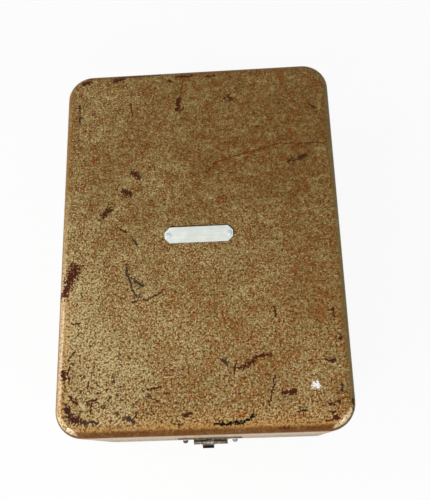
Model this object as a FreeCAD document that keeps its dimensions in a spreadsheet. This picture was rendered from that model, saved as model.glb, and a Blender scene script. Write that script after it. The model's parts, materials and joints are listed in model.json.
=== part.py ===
"""A small slide projecting lantern in its sheet steel carrying case.

The case stands on four rubber feet. Its deep lid turns on two butt hinges at the back and carries
a hanging hasp at the front, which snaps over a keeper on the base. The lantern is screwed to a
wooden bed in the base: lamp house, condenser, slide stage with a sliding carrier, and a lens in a
jacket, focused by a rack and pinion.

Frame: millimetres, +Z up, +X to the right seen from the latch, +Y from the latch to the hinges.
The origin is on the surface that the feet stand on, in the middle of the outline.
"""

import FreeCAD
import Part
import math
import os
import re

import Sketcher

# Driving sizes, in millimetres, degrees and counts.
SIZES = {
    # case
    "case_width": 229.0,
    "case_length": 312.5,
    "case_setback": 2.5,
    "base_depth": 50.0,
    "lid_depth": 84.0,
    "seam_gap": 0.4,
    "sheet_wall": 1.2,
    "corner_radius": 22.0,
    "edge_radius": 7.0,
    "collar_rise": 7.0,
    "collar_wall": 0.9,
    "collar_gap": 0.3,
    # feet
    "foot_radius": 9.0,
    "foot_taper": 1.2,
    "foot_height": 6.0,
    "foot_inset": 34.0,
    "foot_recess": 3.6,
    "foot_recess_radius": 5.0,
    # rivets and screws
    "rivet_head_radius": 2.3,
    "rivet_head_height": 1.1,
    "rivet_shank_radius": 1.2,
    "rivet_tail_height": 0.6,
    "rivet_margin": 1.6,
    "screw_head_radius": 3.0,
    "screw_head_height": 1.8,
    "screw_shank_radius": 1.5,
    "screw_depth": 6.5,
    "screw_slot": 0.8,
    # butt hinges
    "hinge_spread": 62.0,
    "hinge_width": 50.0,
    "leaf_thickness": 1.0,
    "leaf_rivet_pitch": 32.0,
    "knuckle_radius": 2.6,
    "knuckle_gap": 0.3,
    "hinge_pin_radius": 1.4,
    "pin_clearance": 0.05,
    # latch
    "latch_plate_width": 54.0,
    "latch_plate_height": 13.0,
    "latch_plate_thickness": 1.0,
    "latch_plate_rise": 3.0,
    "latch_rivet_pitch": 42.0,
    "latch_rivet_height": 3.0,
    "latch_lug_span": 29.0,
    "latch_knuckle_radius": 1.9,
    "latch_pin_radius": 1.0,
    "latch_pin_rise": 1.5,
    "hasp_width": 11.0,
    "hasp_offset": -3.5,
    "hasp_length": 22.0,
    "hasp_thickness": 1.2,
    "hasp_corner": 1.5,
    "hasp_window_width": 6.0,
    "hasp_window_height": 7.0,
    "hasp_window_drop": 13.5,
    "hasp_rest_angle": 5.5,
    "thumb_tab_width": 10.0,
    "thumb_tab_reach": 2.2,
    "keeper_width": 32.0,
    "keeper_height": 12.0,
    "keeper_thickness": 1.0,
    "keeper_rivet_pitch": 23.0,
    "keeper_nose_width": 4.6,
    "keeper_nose_height": 3.4,
    "keeper_nose_reach": 2.8,
    # name plate, bare
    "plate_length": 56.0,
    "plate_width": 13.5,
    "plate_thickness": 0.7,
    "plate_corner_cut": 4.2,
    "plate_rivet_pitch": 49.5,
    "plate_rivet_radius": 2.2,
    "plate_offset_x": -0.6,
    "plate_offset_y": 1.4,
    # bed
    "bed_width": 120.0,
    "bed_thickness": 10.0,
    "bed_margin": 7.0,
    "bed_corner": 6.0,
    "bed_screw_inset": 22.0,
    # lamp house
    "lamphouse_width": 96.0,
    "lamphouse_length": 104.0,
    "lamphouse_wall": 1.0,
    "lamphouse_corner": 9.0,
    "lamphouse_back_gap": 22.0,
    "lamphouse_rise": 40.0,
    "lid_headroom": 5.0,
    "lamphouse_flange": 8.0,
    "vent_width": 3.2,
    "vent_height": 18.0,
    "vent_pitch": 9.0,
    "vent_lift": 7.0,
    "vents_per_side": 8,
    "cover_overlap": 6.0,
    "cover_gap": 0.3,
    "cover_edge": 3.0,
    "cover_slot_length": 56.0,
    "cover_slot_width": 5.0,
    "cover_slot_pitch": 11.0,
    "cover_slots": 6,
    "cowl_width": 76.0,
    "cowl_length": 84.0,
    "cowl_height": 4.0,
    "cowl_lift": 3.5,
    "cowl_post_radius": 2.2,
    "cowl_post_inset": 7.0,
    # lamp and reflector
    "lamp_setback": 46.0,
    "socket_wall": 3.0,
    "socket_flange": 8.0,
    "socket_flange_height": 6.0,
    "socket_height": 20.0,
    "cap_radius": 11.0,
    "cap_height": 22.0,
    "cap_seat": 6.0,
    "cap_fit": 0.1,
    "bulb_radius": 15.0,
    "bulb_wall": 0.8,
    "bulb_rise": 28.0,
    "bulb_neck": 10.0,
    "filament_post_radius": 0.5,
    "filament_width": 9.0,
    "filament_height": 8.0,
    "filament_bars": 5,
    "reflector_curve": 36.0,
    "reflector_radius": 24.0,
    "reflector_thickness": 1.2,
    "reflector_boss_radius": 7.0,
    "bracket_width": 18.0,
    "bracket_thickness": 2.0,
    "bracket_foot": 12.0,
    # condenser
    "condenser_radius": 30.0,
    "condenser_wall": 2.0,
    "condenser_length": 40.0,
    "condenser_lip": 2.0,
    "condenser_flange": 7.0,
    "condenser_curve": 50.0,
    "condenser_edge": 2.0,
    "condenser_air": 1.0,
    "condenser_ring_wall": 2.5,
    "retainer_length": 3.0,
    "heat_glass_thickness": 3.0,
    "glass_fit": 0.1,
    # slide stage and carrier
    "stage_width": 70.0,
    "stage_wall": 3.0,
    "stage_arch_width": 46.0,
    "stage_sill": 16.0,
    "gate_opening": 42.0,
    "slide_size": 50.8,
    "slide_thickness": 3.0,
    "slide_fit": 0.3,
    "carrier_rib": 4.0,
    "carrier_cheek": 2.4,
    "carrier_window": 38.0,
    "carrier_knob_radius": 4.0,
    "carrier_knob_reach": 9.0,
    # lens
    "lens_front_gap": 22.0,
    "barrel_radius": 24.0,
    "barrel_length": 80.0,
    "barrel_seat_wall": 2.5,
    "barrel_seat_depth": 9.0,
    "barrel_land_wall": 5.0,
    "barrel_gap": 0.05,
    "barrel_overhang": 26.0,
    "jacket_length": 44.0,
    "jacket_wall": 2.0,
    "jacket_flange": 9.0,
    "jacket_flange_thickness": 3.0,
    "front_ring_length": 9.0,
    "front_ring_wall": 2.6,
    "rear_ring_length": 4.0,
    "objective_curve": 62.0,
    "objective_edge": 2.2,
    "standard_width": 84.0,
    "standard_thickness": 5.0,
    "standard_foot": 14.0,
    # focusing rack and pinion
    "gear_module": 1.0,
    "pinion_teeth": 12,
    "tooth_backlash": 0.3,
    "rack_width": 6.0,
    "rack_lift": 2.0,
    "rack_bed": 0.8,
    "rack_front_teeth": 4,
    "rack_back_teeth": 5,
    "rack_side_gap": 0.4,
    "saddle_width": 19.0,
    "saddle_length": 20.0,
    "saddle_roof": 2.0,
    "saddle_gap": 0.4,
    "focus_shaft_radius": 2.5,
    "focus_knob_radius": 10.0,
    "focus_knob_width": 8.0,
    "focus_knob_gap": 7.5,
    "knurl_count": 30,
    "knurl_depth": 0.6,
    # switch and mains inlet
    "switch_setback": 22.0,
    "switch_lift": 44.0,
    "switch_bush_radius": 6.0,
    "switch_bush_length": 6.0,
    "switch_ball_radius": 2.5,
    "switch_ball_gap": 0.3,
    "switch_mouth_radius": 4.2,
    "switch_lever_radius": 1.5,
    "switch_lever_length": 15.0,
    "switch_rest_angle": 14.0,
    "switch_pin_radius": 0.9,
    "switch_pin_length": 11.0,
    "switch_body_width": 18.0,
    "switch_body_depth": 14.0,
    "inlet_setback": 74.0,
    "inlet_lift": 58.0,
    "inlet_radius": 14.0,
    "inlet_wall": 2.2,
    "inlet_length": 15.0,
    "inlet_base": 4.0,
    "inlet_flange": 4.0,
    "inlet_flange_thickness": 2.0,
    "inlet_pin_radius": 2.0,
    "inlet_pin_pitch": 12.7,
    "inlet_tail_radius": 1.4,
    "inlet_pin_tail": 7.0,
    "inlet_pin_inset": 3.0,
    # wires inside the lamp house
    "wire_radius": 1.2,
    "wire_bend": 5.0,
    "wire_drop_gap": 12.0,
    "wire_floor_gap": 2.0,
    "wire_terminal_rise": 13.0,
    "switch_terminal_pitch": 8.0,
}

# Levels and places that several pieces share, as expressions in the driving sizes.
FLOOR = "(foot_height + sheet_wall)"
SEAM = "(foot_height + base_depth)"
LID_EDGE = f"({SEAM} + seam_gap)"
LID_TOP = f"({LID_EDGE} + lid_depth)"
FRONT = "(case_setback - case_length/2)"
BACK = "(case_setback + case_length/2)"
BED_TOP = f"({FLOOR} + bed_thickness)"
HINGE_Y = f"({BACK} + knuckle_gap + knuckle_radius)"
HINGE_Z = f"({SEAM} + seam_gap/2)"
WALL_RIVET_RISE = "(collar_rise + rivet_head_radius + rivet_margin)"
LEAF_HEIGHT = f"({WALL_RIVET_RISE} + rivet_head_radius + rivet_margin)"
COLLAR_DROP = f"({LEAF_HEIGHT} + rivet_head_radius)"
LATCH_PIN_Y = f"({FRONT} - latch_plate_thickness - latch_knuckle_radius - knuckle_gap)"
LATCH_PIN_Z = f"({LID_EDGE} + latch_plate_rise + latch_pin_rise)"
KEEPER_Z = f"({LATCH_PIN_Z} - hasp_window_drop)"
LAMPHOUSE_BACK = f"({BACK} - sheet_wall - lamphouse_back_gap)"
LAMPHOUSE_FRONT = f"({LAMPHOUSE_BACK} - lamphouse_length)"
COWL_TOP = f"({LID_TOP} - sheet_wall - lid_headroom)"
LAMPHOUSE_TOP = f"({COWL_TOP} - cowl_height - cowl_lift - lamphouse_wall)"
AXIS_Z = f"({LAMPHOUSE_TOP} - lamphouse_rise)"
LAMP_Y = f"({LAMPHOUSE_FRONT} + lamp_setback)"
STAGE_BACK = f"({LAMPHOUSE_FRONT} - condenser_length)"
CARRIER_THICKNESS = "(slide_thickness + 2*slide_fit + 2*carrier_cheek)"
CARRIER_HEIGHT = "(slide_size + 2*slide_fit + 2*carrier_rib)"
SLIDE_PITCH = "(slide_size + 2*slide_fit + carrier_rib)"
STAGE_DEPTH = f"({CARRIER_THICKNESS} + 2*slide_fit + 2*stage_wall)"
SLIDE_Y = f"({STAGE_BACK} - {STAGE_DEPTH}/2)"
LENS_FRONT = f"({FRONT} + sheet_wall + lens_front_gap)"
JACKET_FRONT = f"({LENS_FRONT} + barrel_overhang)"
JACKET_BACK = f"({JACKET_FRONT} + jacket_length)"
JACKET_BORE = "(barrel_radius + barrel_gap)"
JACKET_RADIUS = f"({JACKET_BORE} + jacket_wall)"
CONDENSER_BORE = "(condenser_radius + glass_fit)"
CONDENSER_OUTER = f"({CONDENSER_BORE} + condenser_wall)"
SOCKET_BORE = "(cap_radius + cap_fit)"
SOCKET_RADIUS = f"({SOCKET_BORE} + socket_wall)"
PITCH_RADIUS = "(gear_module*pinion_teeth/2)"
PINION_Y = f"({JACKET_FRONT} + jacket_length/2)"
PINION_Z = f"({AXIS_Z} + barrel_radius + rack_lift + {PITCH_RADIUS})"
SAG = "(condenser_curve - sqrt(condenser_curve^2 - condenser_radius^2))"
RING_BORE = "(condenser_radius - condenser_ring_wall)"
RING_SAG = f"(condenser_curve - sqrt(condenser_curve^2 - {RING_BORE}^2))"
SWITCH_Y = f"({LAMPHOUSE_FRONT} + switch_setback)"
SWITCH_Z = f"({BED_TOP} + switch_lift)"
INLET_Y = f"({LAMPHOUSE_FRONT} + inlet_setback)"
INLET_Z = f"({BED_TOP} + inlet_lift)"

LONG = 400.0  # reach of a tool that cuts right through
SIDES = {"left": -1, "right": 1}
ENDS = {"front": -1, "back": 1}
TURNS = {
    "X": FreeCAD.Rotation(FreeCAD.Vector(0, 1, 0), 90),
    "-X": FreeCAD.Rotation(FreeCAD.Vector(0, 1, 0), -90),
    "Y": FreeCAD.Rotation(FreeCAD.Vector(1, 0, 0), -90),
    "-Y": FreeCAD.Rotation(FreeCAD.Vector(1, 0, 0), 90),
    "Z": FreeCAD.Rotation(),
    "-Z": FreeCAD.Rotation(FreeCAD.Vector(1, 0, 0), 180),
}

doc = FreeCAD.newDocument("projecting_lantern")
sheet = doc.addObject("Spreadsheet::Sheet", "dims")
for row, (alias, number) in enumerate(SIZES.items(), start=1):
    sheet.set(f"A{row}", str(number))
    sheet.setAlias(f"A{row}", alias)
doc.recompute()

nodes = {}


def bound(text):
    """The expression with every size in it pointed at its cell."""
    return re.sub(
        r"[a-z][a-z_0-9]*",
        lambda word: f"dims.{word.group()}" if word.group() in SIZES else word.group(),
        str(text),
    )


def tie(thing, **properties):
    for name, text in properties.items():
        thing.setExpression(name, bound(text))


def put(thing, at, axis="Z"):
    """Turns a piece's own Z to the axis and ties its place to the sizes."""
    thing.Placement = FreeCAD.Placement(FreeCAD.Vector(), TURNS[axis])
    for letter, text in zip("xyz", at):
        thing.setExpression(f"Placement.Base.{letter}", bound(text))
    return thing


def block(size, at):
    """A box with its lowest corner at the given place."""
    thing = doc.addObject("Part::Box", "block")
    tie(thing, Length=size[0], Width=size[1], Height=size[2])
    return put(thing, at)


def mid_block(size, at):
    """A box that is centred on the given place along X and Y, and stands on it."""
    middle = [f"{at[0]} - ({size[0]})/2", f"{at[1]} - ({size[1]})/2", at[2]]
    return block(size, middle)


def core_block(size, at):
    """A box that is centred on the given place all ways."""
    return mid_block(size, (at[0], at[1], f"{at[2]} - ({size[2]})/2"))


def rod(radius, length, at, axis="Z"):
    thing = doc.addObject("Part::Cylinder", "rod")
    tie(thing, Radius=radius, Height=length)
    return put(thing, at, axis)


def through_rod(radius, at, axis):
    """A long cylinder, centred on the given place, for a hole that goes right through."""
    start = dict(zip("XYZ", at))
    start[axis] = f"{start[axis]} - {LONG}/2"
    return rod(radius, LONG, [start[letter] for letter in "XYZ"], axis)


def taper(radius_low, radius_high, length, at, axis="Z"):
    thing = doc.addObject("Part::Cone", "taper")
    tie(thing, Radius1=radius_low, Radius2=radius_high, Height=length)
    return put(thing, at, axis)


def ball(radius, at):
    thing = doc.addObject("Part::Sphere", "ball")
    tie(thing, Radius=radius)
    return put(thing, at)


def join(*pieces):
    if len(pieces) == 1:
        return pieces[0]
    thing = doc.addObject("Part::MultiFuse", "join")
    thing.Shapes = list(pieces)
    return thing


def cut(base, *tools):
    thing = doc.addObject("Part::Cut", "cut")
    thing.Base = base
    thing.Tool = join(*tools)
    return thing


def overlap(*pieces):
    thing = doc.addObject("Part::MultiCommon", "overlap")
    thing.Shapes = list(pieces)
    return thing


def group(pieces):
    """Separate solids that share a node."""
    thing = doc.addObject("Part::Compound", "group")
    thing.Links = list(pieces)
    return thing


def node(label, thing):
    thing.Label = label
    nodes[label] = thing
    return thing


def plane(body, role):
    return next(feature for feature in body.Origin.OriginFeatures if feature.Role == role)


def outline_sketch(body, role, points):
    """A closed outline of straight lines, every corner tied to the sizes."""
    sketch = body.newObject("Sketcher::SketchObject", "outline")
    sketch.AttachmentSupport = [(plane(body, role), "")]
    sketch.MapMode = "FlatFace"
    count = len(points)
    for index in range(count):
        angle = 2 * math.pi * index / count
        after = 2 * math.pi * (index + 1) / count
        start = FreeCAD.Vector(math.cos(angle), math.sin(angle), 0)
        end = FreeCAD.Vector(math.cos(after), math.sin(after), 0)
        sketch.addGeometry(Part.LineSegment(start, end), False)
    for index in range(count):
        sketch.addConstraint(Sketcher.Constraint("Coincident", index, 2, (index + 1) % count, 1))
    for index, corner in enumerate(points):
        for kind, text in zip(("DistanceX", "DistanceY"), corner):
            name = f"{kind}_{index}"
            added = sketch.addConstraint(Sketcher.Constraint(kind, -1, 1, index, 1, 1.0))
            sketch.renameConstraint(added, name)
            sketch.setExpression(f"Constraints.{name}", bound(text))
    return sketch


def rectangle(width, length):
    return [
        (f"-({width})/2", f"-({length})/2"),
        (f"({width})/2", f"-({length})/2"),
        (f"({width})/2", f"({length})/2"),
        (f"-({width})/2", f"({length})/2"),
    ]


def rounded(body, base, radius, chosen):
    """Rounds the edges of a body's last feature that the test picks."""
    doc.recompute()
    edges = [f"Edge{n}" for n, edge in enumerate(base.Shape.Edges, start=1) if chosen(edge)]
    fillet = body.newObject("PartDesign::Fillet", "fillet")
    fillet.Base = (base, edges)
    tie(fillet, Radius=radius)
    return fillet


def upright(edge):
    return abs(edge.tangentAt(edge.FirstParameter).z) > 0.99


def level(height):
    """A test for edges that lie flat at the height."""
    return lambda edge: all(abs(vertex.Z - height) < 1e-6 for vertex in edge.Vertexes)


def padded_body(points, height, role="XY_Plane"):
    body = doc.addObject("PartDesign::Body", "body")
    pad = body.newObject("PartDesign::Pad", "pad")
    pad.Profile = outline_sketch(body, role, points)
    tie(pad, Length=height)
    return body, pad


def tub(size, at, corner, edge=None, edge_at_top=True, wall=None, open_ends=()):
    """A block with round corners in plan. It can have a rounded end, and can be a thin shell with
    its bottom, its top or both left open."""
    width, length, height = size
    body, feature = padded_body(rectangle(width, length), height)
    feature = rounded(body, feature, corner, upright)
    doc.recompute()
    if edge:
        box = feature.Shape.BoundBox
        feature = rounded(body, feature, edge, level(box.ZMax if edge_at_top else 0.0))
        doc.recompute()
    if wall:
        flat = [
            (number, face)
            for number, face in enumerate(feature.Shape.Faces, start=1)
            if face.Surface.TypeId == "Part::GeomPlane" and abs(face.normalAt(0, 0).z) > 0.99
        ]
        lowest = min(flat, key=lambda item: item[1].CenterOfMass.z)[0]
        highest = max(flat, key=lambda item: item[1].CenterOfMass.z)[0]
        ends = {"bottom": lowest, "top": highest}
        shell = body.newObject("PartDesign::Thickness", "shell")
        shell.Base = (feature, [f"Face{ends[name]}" for name in open_ends])
        shell.Reversed = True
        tie(shell, Value=wall)
        feature = shell
    body.Tip = feature
    return put(body, at)


def turned(points, at, axis="Z", crown=None):
    """A turned piece from an outline of (radius, distance along the axis). The outer edge of its
    far end can be crowned."""
    body = doc.addObject("PartDesign::Body", "turned")
    sketch = outline_sketch(body, "XZ_Plane", points)
    feature = body.newObject("PartDesign::Revolution", "revolution")
    feature.Profile = sketch
    feature.ReferenceAxis = (sketch, ["V_Axis"])
    feature.Angle = 360
    if crown:
        doc.recompute()
        top = feature.Shape.BoundBox.ZMax
        rims = [edge for edge in feature.Shape.Edges if hasattr(edge.Curve, "Radius")]
        widest = max(edge.Curve.Radius for edge in rims if level(top)(edge))

        def outer_rim(edge):
            return level(top)(edge) and getattr(edge.Curve, "Radius", 0) > widest - 1e-6

        feature = rounded(body, feature, crown, outer_rim)
    body.Tip = feature
    return put(body, at, axis)


def tube(bore, radius, length, at, axis="Z"):
    points = [(bore, 0), (radius, 0), (radius, length), (bore, length)]
    return turned(points, at, axis)


def rivet(grip, at, axis, head_radius="rivet_head_radius", head_height="rivet_head_height"):
    """A domed rivet: its head sits on the surface at the given place and faces along the axis."""
    shank = "rivet_shank_radius"
    tail = f"-({grip}) - rivet_tail_height"
    points = [
        (0, head_height),
        (head_radius, head_height),
        (head_radius, 0),
        (shank, 0),
        (shank, f"-({grip})"),
        (head_radius, f"-({grip})"),
        (head_radius, tail),
        (0, tail),
    ]
    return turned(points, at, axis, crown=f"min(0.85*{head_height}; 0.9*({head_radius}))")


def screw(grip, at, axis="Z"):
    """A slotted screw: its head sits on the surface at the given place and faces along the axis."""
    points = [
        (0, "screw_head_height"),
        ("screw_head_radius", "screw_head_height"),
        ("screw_head_radius", 0),
        ("screw_shank_radius", 0),
        ("screw_shank_radius", f"-({grip})"),
        (0, f"-({grip})"),
    ]
    body = turned(points, (0, 0, 0), crown="0.6*screw_head_height")
    slot = mid_block(
        ("3*screw_head_radius", "screw_slot", "screw_head_height"),
        (0, 0, "0.55*screw_head_height"),
    )
    return put(cut(body, slot), at, axis)


# Where the fasteners go: rivets through the case, and screws into the bed.
def hinge_rivet_spots(side, upper):
    level_z = f"{LID_EDGE} + {WALL_RIVET_RISE}" if upper else f"{SEAM} - {WALL_RIVET_RISE}"
    middle = f"{side}*hinge_spread"
    return [(f"{middle} + {step}*leaf_rivet_pitch/2", BACK, level_z) for step in (-1, 1)]


def all_hinge_rivet_spots(upper):
    return [spot for side in SIDES.values() for spot in hinge_rivet_spots(side, upper)]


def latch_rivet_spots():
    height = f"{LID_EDGE} + {WALL_RIVET_RISE}"
    return [(f"{side}*latch_rivet_pitch/2", FRONT, height) for side in SIDES.values()]


def keeper_rivet_spots():
    return [(f"{side}*keeper_rivet_pitch/2", FRONT, KEEPER_Z) for side in SIDES.values()]


def plate_rivet_spots():
    return [
        (f"plate_offset_x + {side}*plate_rivet_pitch/2", "case_setback + plate_offset_y", LID_TOP)
        for side in SIDES.values()
    ]


def foot_spots():
    return [
        (
            f"{across}*(case_width/2 - foot_inset)",
            f"case_setback + {along}*(case_length/2 - foot_inset)",
            0,
        )
        for along in ENDS.values()
        for across in SIDES.values()
    ]


def bed_screw_spots():
    """Screws from under the base up into the bed."""
    return [
        (
            f"{across}*(bed_width/2 - bed_screw_inset)",
            f"case_setback + {along}*(case_length/2 - sheet_wall - bed_margin - bed_screw_inset)",
            "foot_height",
        )
        for along in ENDS.values()
        for across in SIDES.values()
    ]


def lamphouse_screw_spots():
    middle = f"({LAMPHOUSE_FRONT} + {LAMPHOUSE_BACK})/2"
    return [
        (
            f"{across}*(lamphouse_width/2 + lamphouse_flange/2)",
            f"{middle} + {along}*0.3*lamphouse_length",
            f"{BED_TOP} + lamphouse_wall",
        )
        for along in ENDS.values()
        for across in SIDES.values()
    ]


def standard_screw_spots():
    return [
        (
            f"{across}*0.3*standard_width",
            f"{JACKET_BACK} + standard_thickness + standard_foot/2",
            f"{BED_TOP} + standard_thickness",
        )
        for across in SIDES.values()
    ]


def stage_screw_spots():
    return [
        (
            f"{across}*(stage_width/2 + stage_wall + screw_head_radius)",
            SLIDE_Y,
            f"{BED_TOP} + stage_wall",
        )
        for across in SIDES.values()
    ]


def bracket_screw_spots():
    back = f"{LAMP_Y} + reflector_curve + reflector_thickness + bracket_thickness"
    return [(0, f"{back} + 0.5*bracket_foot", f"{BED_TOP} + bracket_thickness")]


def socket_screw_spots():
    return [
        (f"{across}*({SOCKET_RADIUS} + socket_flange/2)", LAMP_Y, f"{BED_TOP} + socket_flange_height")
        for across in SIDES.values()
    ]


def inlet_pin_spots():
    tail = "-lamphouse_width/2 + inlet_pin_tail"
    return [
        (tail, f"{INLET_Y} + {along}*inlet_pin_pitch/2", INLET_Z) for along in ENDS.values()
    ]


def flange_screw_spots(radius, y):
    """Four places round the optical axis, on the diagonals."""
    return [
        (f"{across}*sqrt(0.5)*({radius})", y, f"{AXIS_Z} + {upward}*sqrt(0.5)*({radius})")
        for across in SIDES.values()
        for upward in (-1, 1)
    ]


def jacket_screw_spots():
    face = f"{JACKET_BACK} - jacket_flange_thickness"
    return flange_screw_spots(f"{JACKET_RADIUS} + jacket_flange/2", face)


def condenser_screw_spots():
    face = f"{LAMPHOUSE_FRONT} - condenser_wall"
    return flange_screw_spots(f"{CONDENSER_OUTER} + condenser_flange/2", face)


def bed_holes():
    """Pilot holes for every screw that goes down into the bed from above."""
    spots = [*lamphouse_screw_spots(), *standard_screw_spots(), *stage_screw_spots()]
    spots += [*bracket_screw_spots(), *socket_screw_spots()]
    depth = "screw_depth"
    return [rod("screw_shank_radius", depth, (x, y, f"{BED_TOP} - {depth}")) for x, y, z in spots]


def holes(spots, radius, axis):
    return [through_rod(radius, spot, axis) for spot in spots]


def half_holes(spots, radius, axis):
    """Short holes about the given places, through the near wall but not the wall opposite."""
    reach = "4*sheet_wall"
    starts = []
    for spot in spots:
        start = dict(zip("XYZ", spot))
        start[axis] = f"{start[axis]} - {reach}"
        starts.append([start[letter] for letter in "XYZ"])
    return [rod(radius, f"2*{reach}", start, axis) for start in starts]


# The case: base, collar, lid, feet, hinges, latch and the bare plate.
def make_base():
    size = ("case_width", "case_length", "base_depth")
    pan = tub(
        size,
        (0, "case_setback", "foot_height"),
        "corner_radius",
        edge="edge_radius",
        edge_at_top=False,
        wall="sheet_wall",
        open_ends=("top",),
    )
    shank = "rivet_shank_radius"
    wall_spots = all_hinge_rivet_spots(False) + keeper_rivet_spots()
    foot_holes = [(x, y, "foot_height") for x, y, z in foot_spots()]
    tools = half_holes(wall_spots, shank, "Y") + half_holes(foot_holes, shank, "Z")
    tools += half_holes(bed_screw_spots(), "screw_shank_radius", "Z")
    node("base_tray", cut(pan, *tools))

    inset = "2*(sheet_wall + collar_gap)"
    collar = tub(
        (f"case_width - {inset}", f"case_length - {inset}", f"{COLLAR_DROP} + collar_rise"),
        (0, "case_setback", f"{SEAM} - {COLLAR_DROP}"),
        "corner_radius - sheet_wall - collar_gap",
        wall="collar_wall",
        open_ends=("bottom", "top"),
    )
    room = "rivet_head_radius + collar_gap"
    node("base_collar", cut(collar, *half_holes(wall_spots, room, "Y")))


def make_lid():
    cap = tub(
        ("case_width", "case_length", "lid_depth"),
        (0, "case_setback", LID_EDGE),
        "corner_radius",
        edge="edge_radius",
        wall="sheet_wall",
        open_ends=("bottom",),
    )
    shank = "rivet_shank_radius"
    wall_spots = all_hinge_rivet_spots(True) + latch_rivet_spots()
    tools = half_holes(wall_spots, shank, "Y") + half_holes(plate_rivet_spots(), shank, "Z")
    node("lid", cut(cap, *tools))


def make_feet():
    recess = "foot_recess_radius"
    points = [
        (recess, 0),
        ("foot_radius - foot_taper", 0),
        ("foot_radius", "foot_height"),
        ("rivet_shank_radius", "foot_height"),
        ("rivet_shank_radius", "foot_recess"),
        (recess, "foot_recess"),
    ]
    node("rubber_feet", group([turned(points, spot) for spot in foot_spots()]))
    grip = "foot_height - foot_recess + sheet_wall"
    fixed = [
        rivet(grip, (x, y, "foot_recess"), "-Z", head_radius="foot_recess_radius - foot_taper")
        for x, y, z in foot_spots()
    ]
    node("foot_rivets", group(fixed))


def hinge_leaf(side, upper):
    """One leaf of a butt hinge. The upper leaf has the middle knuckle and the lower one the outer two."""
    middle = f"{side}*hinge_spread"
    start = f"{middle} - hinge_width/2"
    third = "(hinge_width/3)"
    low = LID_EDGE if upper else f"{SEAM} - {LEAF_HEIGHT}"
    flap = block(("hinge_width", "leaf_thickness", LEAF_HEIGHT), (start, BACK, low))
    mine = [f"{start} + {third}"] if upper else [start, f"{start} + 2*{third}"]
    theirs = [start, f"{start} + 2*{third}"] if upper else [f"{start} + {third}"]
    reach = f"{third} - knuckle_gap"
    barrels = [
        rod("knuckle_radius", reach, (f"{x} + knuckle_gap/2", HINGE_Y, HINGE_Z), "X") for x in mine
    ]
    rooms = [
        rod(
            "knuckle_radius + knuckle_gap",
            f"{third} + knuckle_gap",
            (f"{x} - knuckle_gap/2", HINGE_Y, HINGE_Z),
            "X",
        )
        for x in theirs
    ]
    bore = rod(
        "hinge_pin_radius + pin_clearance",
        "hinge_width + 2*knuckle_gap",
        (f"{start} - knuckle_gap", HINGE_Y, HINGE_Z),
        "X",
    )
    openings = half_holes(hinge_rivet_spots(side, upper), "rivet_shank_radius", "Y")
    return cut(join(flap, *barrels), bore, *rooms, *openings)


def make_hinges():
    pins = []
    for name, side in SIDES.items():
        node(f"hinge_leaf_base_{name}", hinge_leaf(side, False))
        node(f"hinge_leaf_lid_{name}", hinge_leaf(side, True))
        start = f"{side}*hinge_spread - hinge_width/2"
        pins.append(rod("hinge_pin_radius", "hinge_width", (start, HINGE_Y, HINGE_Z), "X"))
    node("hinge_pins", group(pins))
    node("hinge_rivets", group(hinge_rivets(True)))


def hinge_rivets(upper):
    grip = "leaf_thickness + sheet_wall"
    spots = all_hinge_rivet_spots(upper)
    return [rivet(grip, (x, f"{y} + leaf_thickness", z), "Y") for x, y, z in spots]


def make_latch():
    plate_low = f"{LID_EDGE} + latch_plate_rise"
    plate_front = f"{FRONT} - latch_plate_thickness"
    face = block(
        ("latch_plate_width", "latch_plate_thickness", "latch_plate_height"),
        ("-latch_plate_width/2", plate_front, plate_low),
    )
    pin = ("hasp_offset", LATCH_PIN_Y, LATCH_PIN_Z)
    reach = f"{FRONT} - {LATCH_PIN_Y}"
    web_height = "1.2*latch_knuckle_radius"
    web_low = f"{LATCH_PIN_Z} - {web_height}/2"
    room = "(hasp_width/2 + knuckle_gap)"
    lugs = []
    for low, high in (
        ("-latch_lug_span/2", f"hasp_offset - {room}"),
        (f"hasp_offset + {room}", "latch_lug_span/2"),
    ):
        width = f"({high}) - ({low})"
        lugs.append(rod("latch_knuckle_radius", width, (low, pin[1], pin[2]), "X"))
        lugs.append(block((width, reach, web_height), (low, pin[1], web_low)))
    shank = "rivet_shank_radius"
    bore = through_rod("latch_pin_radius", pin, "X")
    rivet_ways = half_holes(latch_rivet_spots(), shank, "Y")
    node("latch_plate", cut(join(face, *lugs), bore, *rivet_ways))

    start = ("-latch_lug_span/2", pin[1], pin[2])
    node("latch_pin", rod("latch_pin_radius", "latch_lug_span", start, "X"))

    grip = "latch_plate_thickness + sheet_wall"
    fixed = [
        rivet(grip, (x, plate_front, z), "-Y", head_height="latch_rivet_height")
        for x, y, z in latch_rivet_spots()
    ]
    node("latch_rivets", group(fixed))
    make_hasp(pin)
    make_keeper()


def make_hasp(pin):
    """The hasp about its own pin: drawn hanging straight down, then swung out to its rest angle."""
    half = "hasp_width/2"
    points = [
        (f"-{half}", 0),
        (f"-{half}", "hasp_corner - hasp_length"),
        (f"hasp_corner - {half}", "-hasp_length"),
        (f"{half} - hasp_corner", "-hasp_length"),
        (half, "hasp_corner - hasp_length"),
        (half, 0),
    ]
    flap, pad = padded_body(points, "hasp_thickness", "XZ_Plane")
    pad.Midplane = True
    knuckle = rod("latch_knuckle_radius", "hasp_width", (f"-{half}", 0, 0), "X")
    tab = block(
        ("thumb_tab_width", "thumb_tab_reach + hasp_thickness/2", "hasp_thickness"),
        ("-thumb_tab_width/2", "-thumb_tab_reach - hasp_thickness/2", "-hasp_length"),
    )
    window = core_block(
        ("hasp_window_width", "3*hasp_thickness", "hasp_window_height"),
        (0, 0, "-hasp_window_drop"),
    )
    bore = through_rod("latch_pin_radius + pin_clearance", (0, 0, 0), "X")
    hasp = put(cut(join(flap, knuckle, tab), window, bore), pin)
    hasp.Placement.Rotation = FreeCAD.Rotation(FreeCAD.Vector(-1, 0, 0), sheet.hasp_rest_angle)
    hasp.setExpression("Placement.Rotation.Angle", bound("hasp_rest_angle"))
    node("latch_hasp", hasp)


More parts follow.
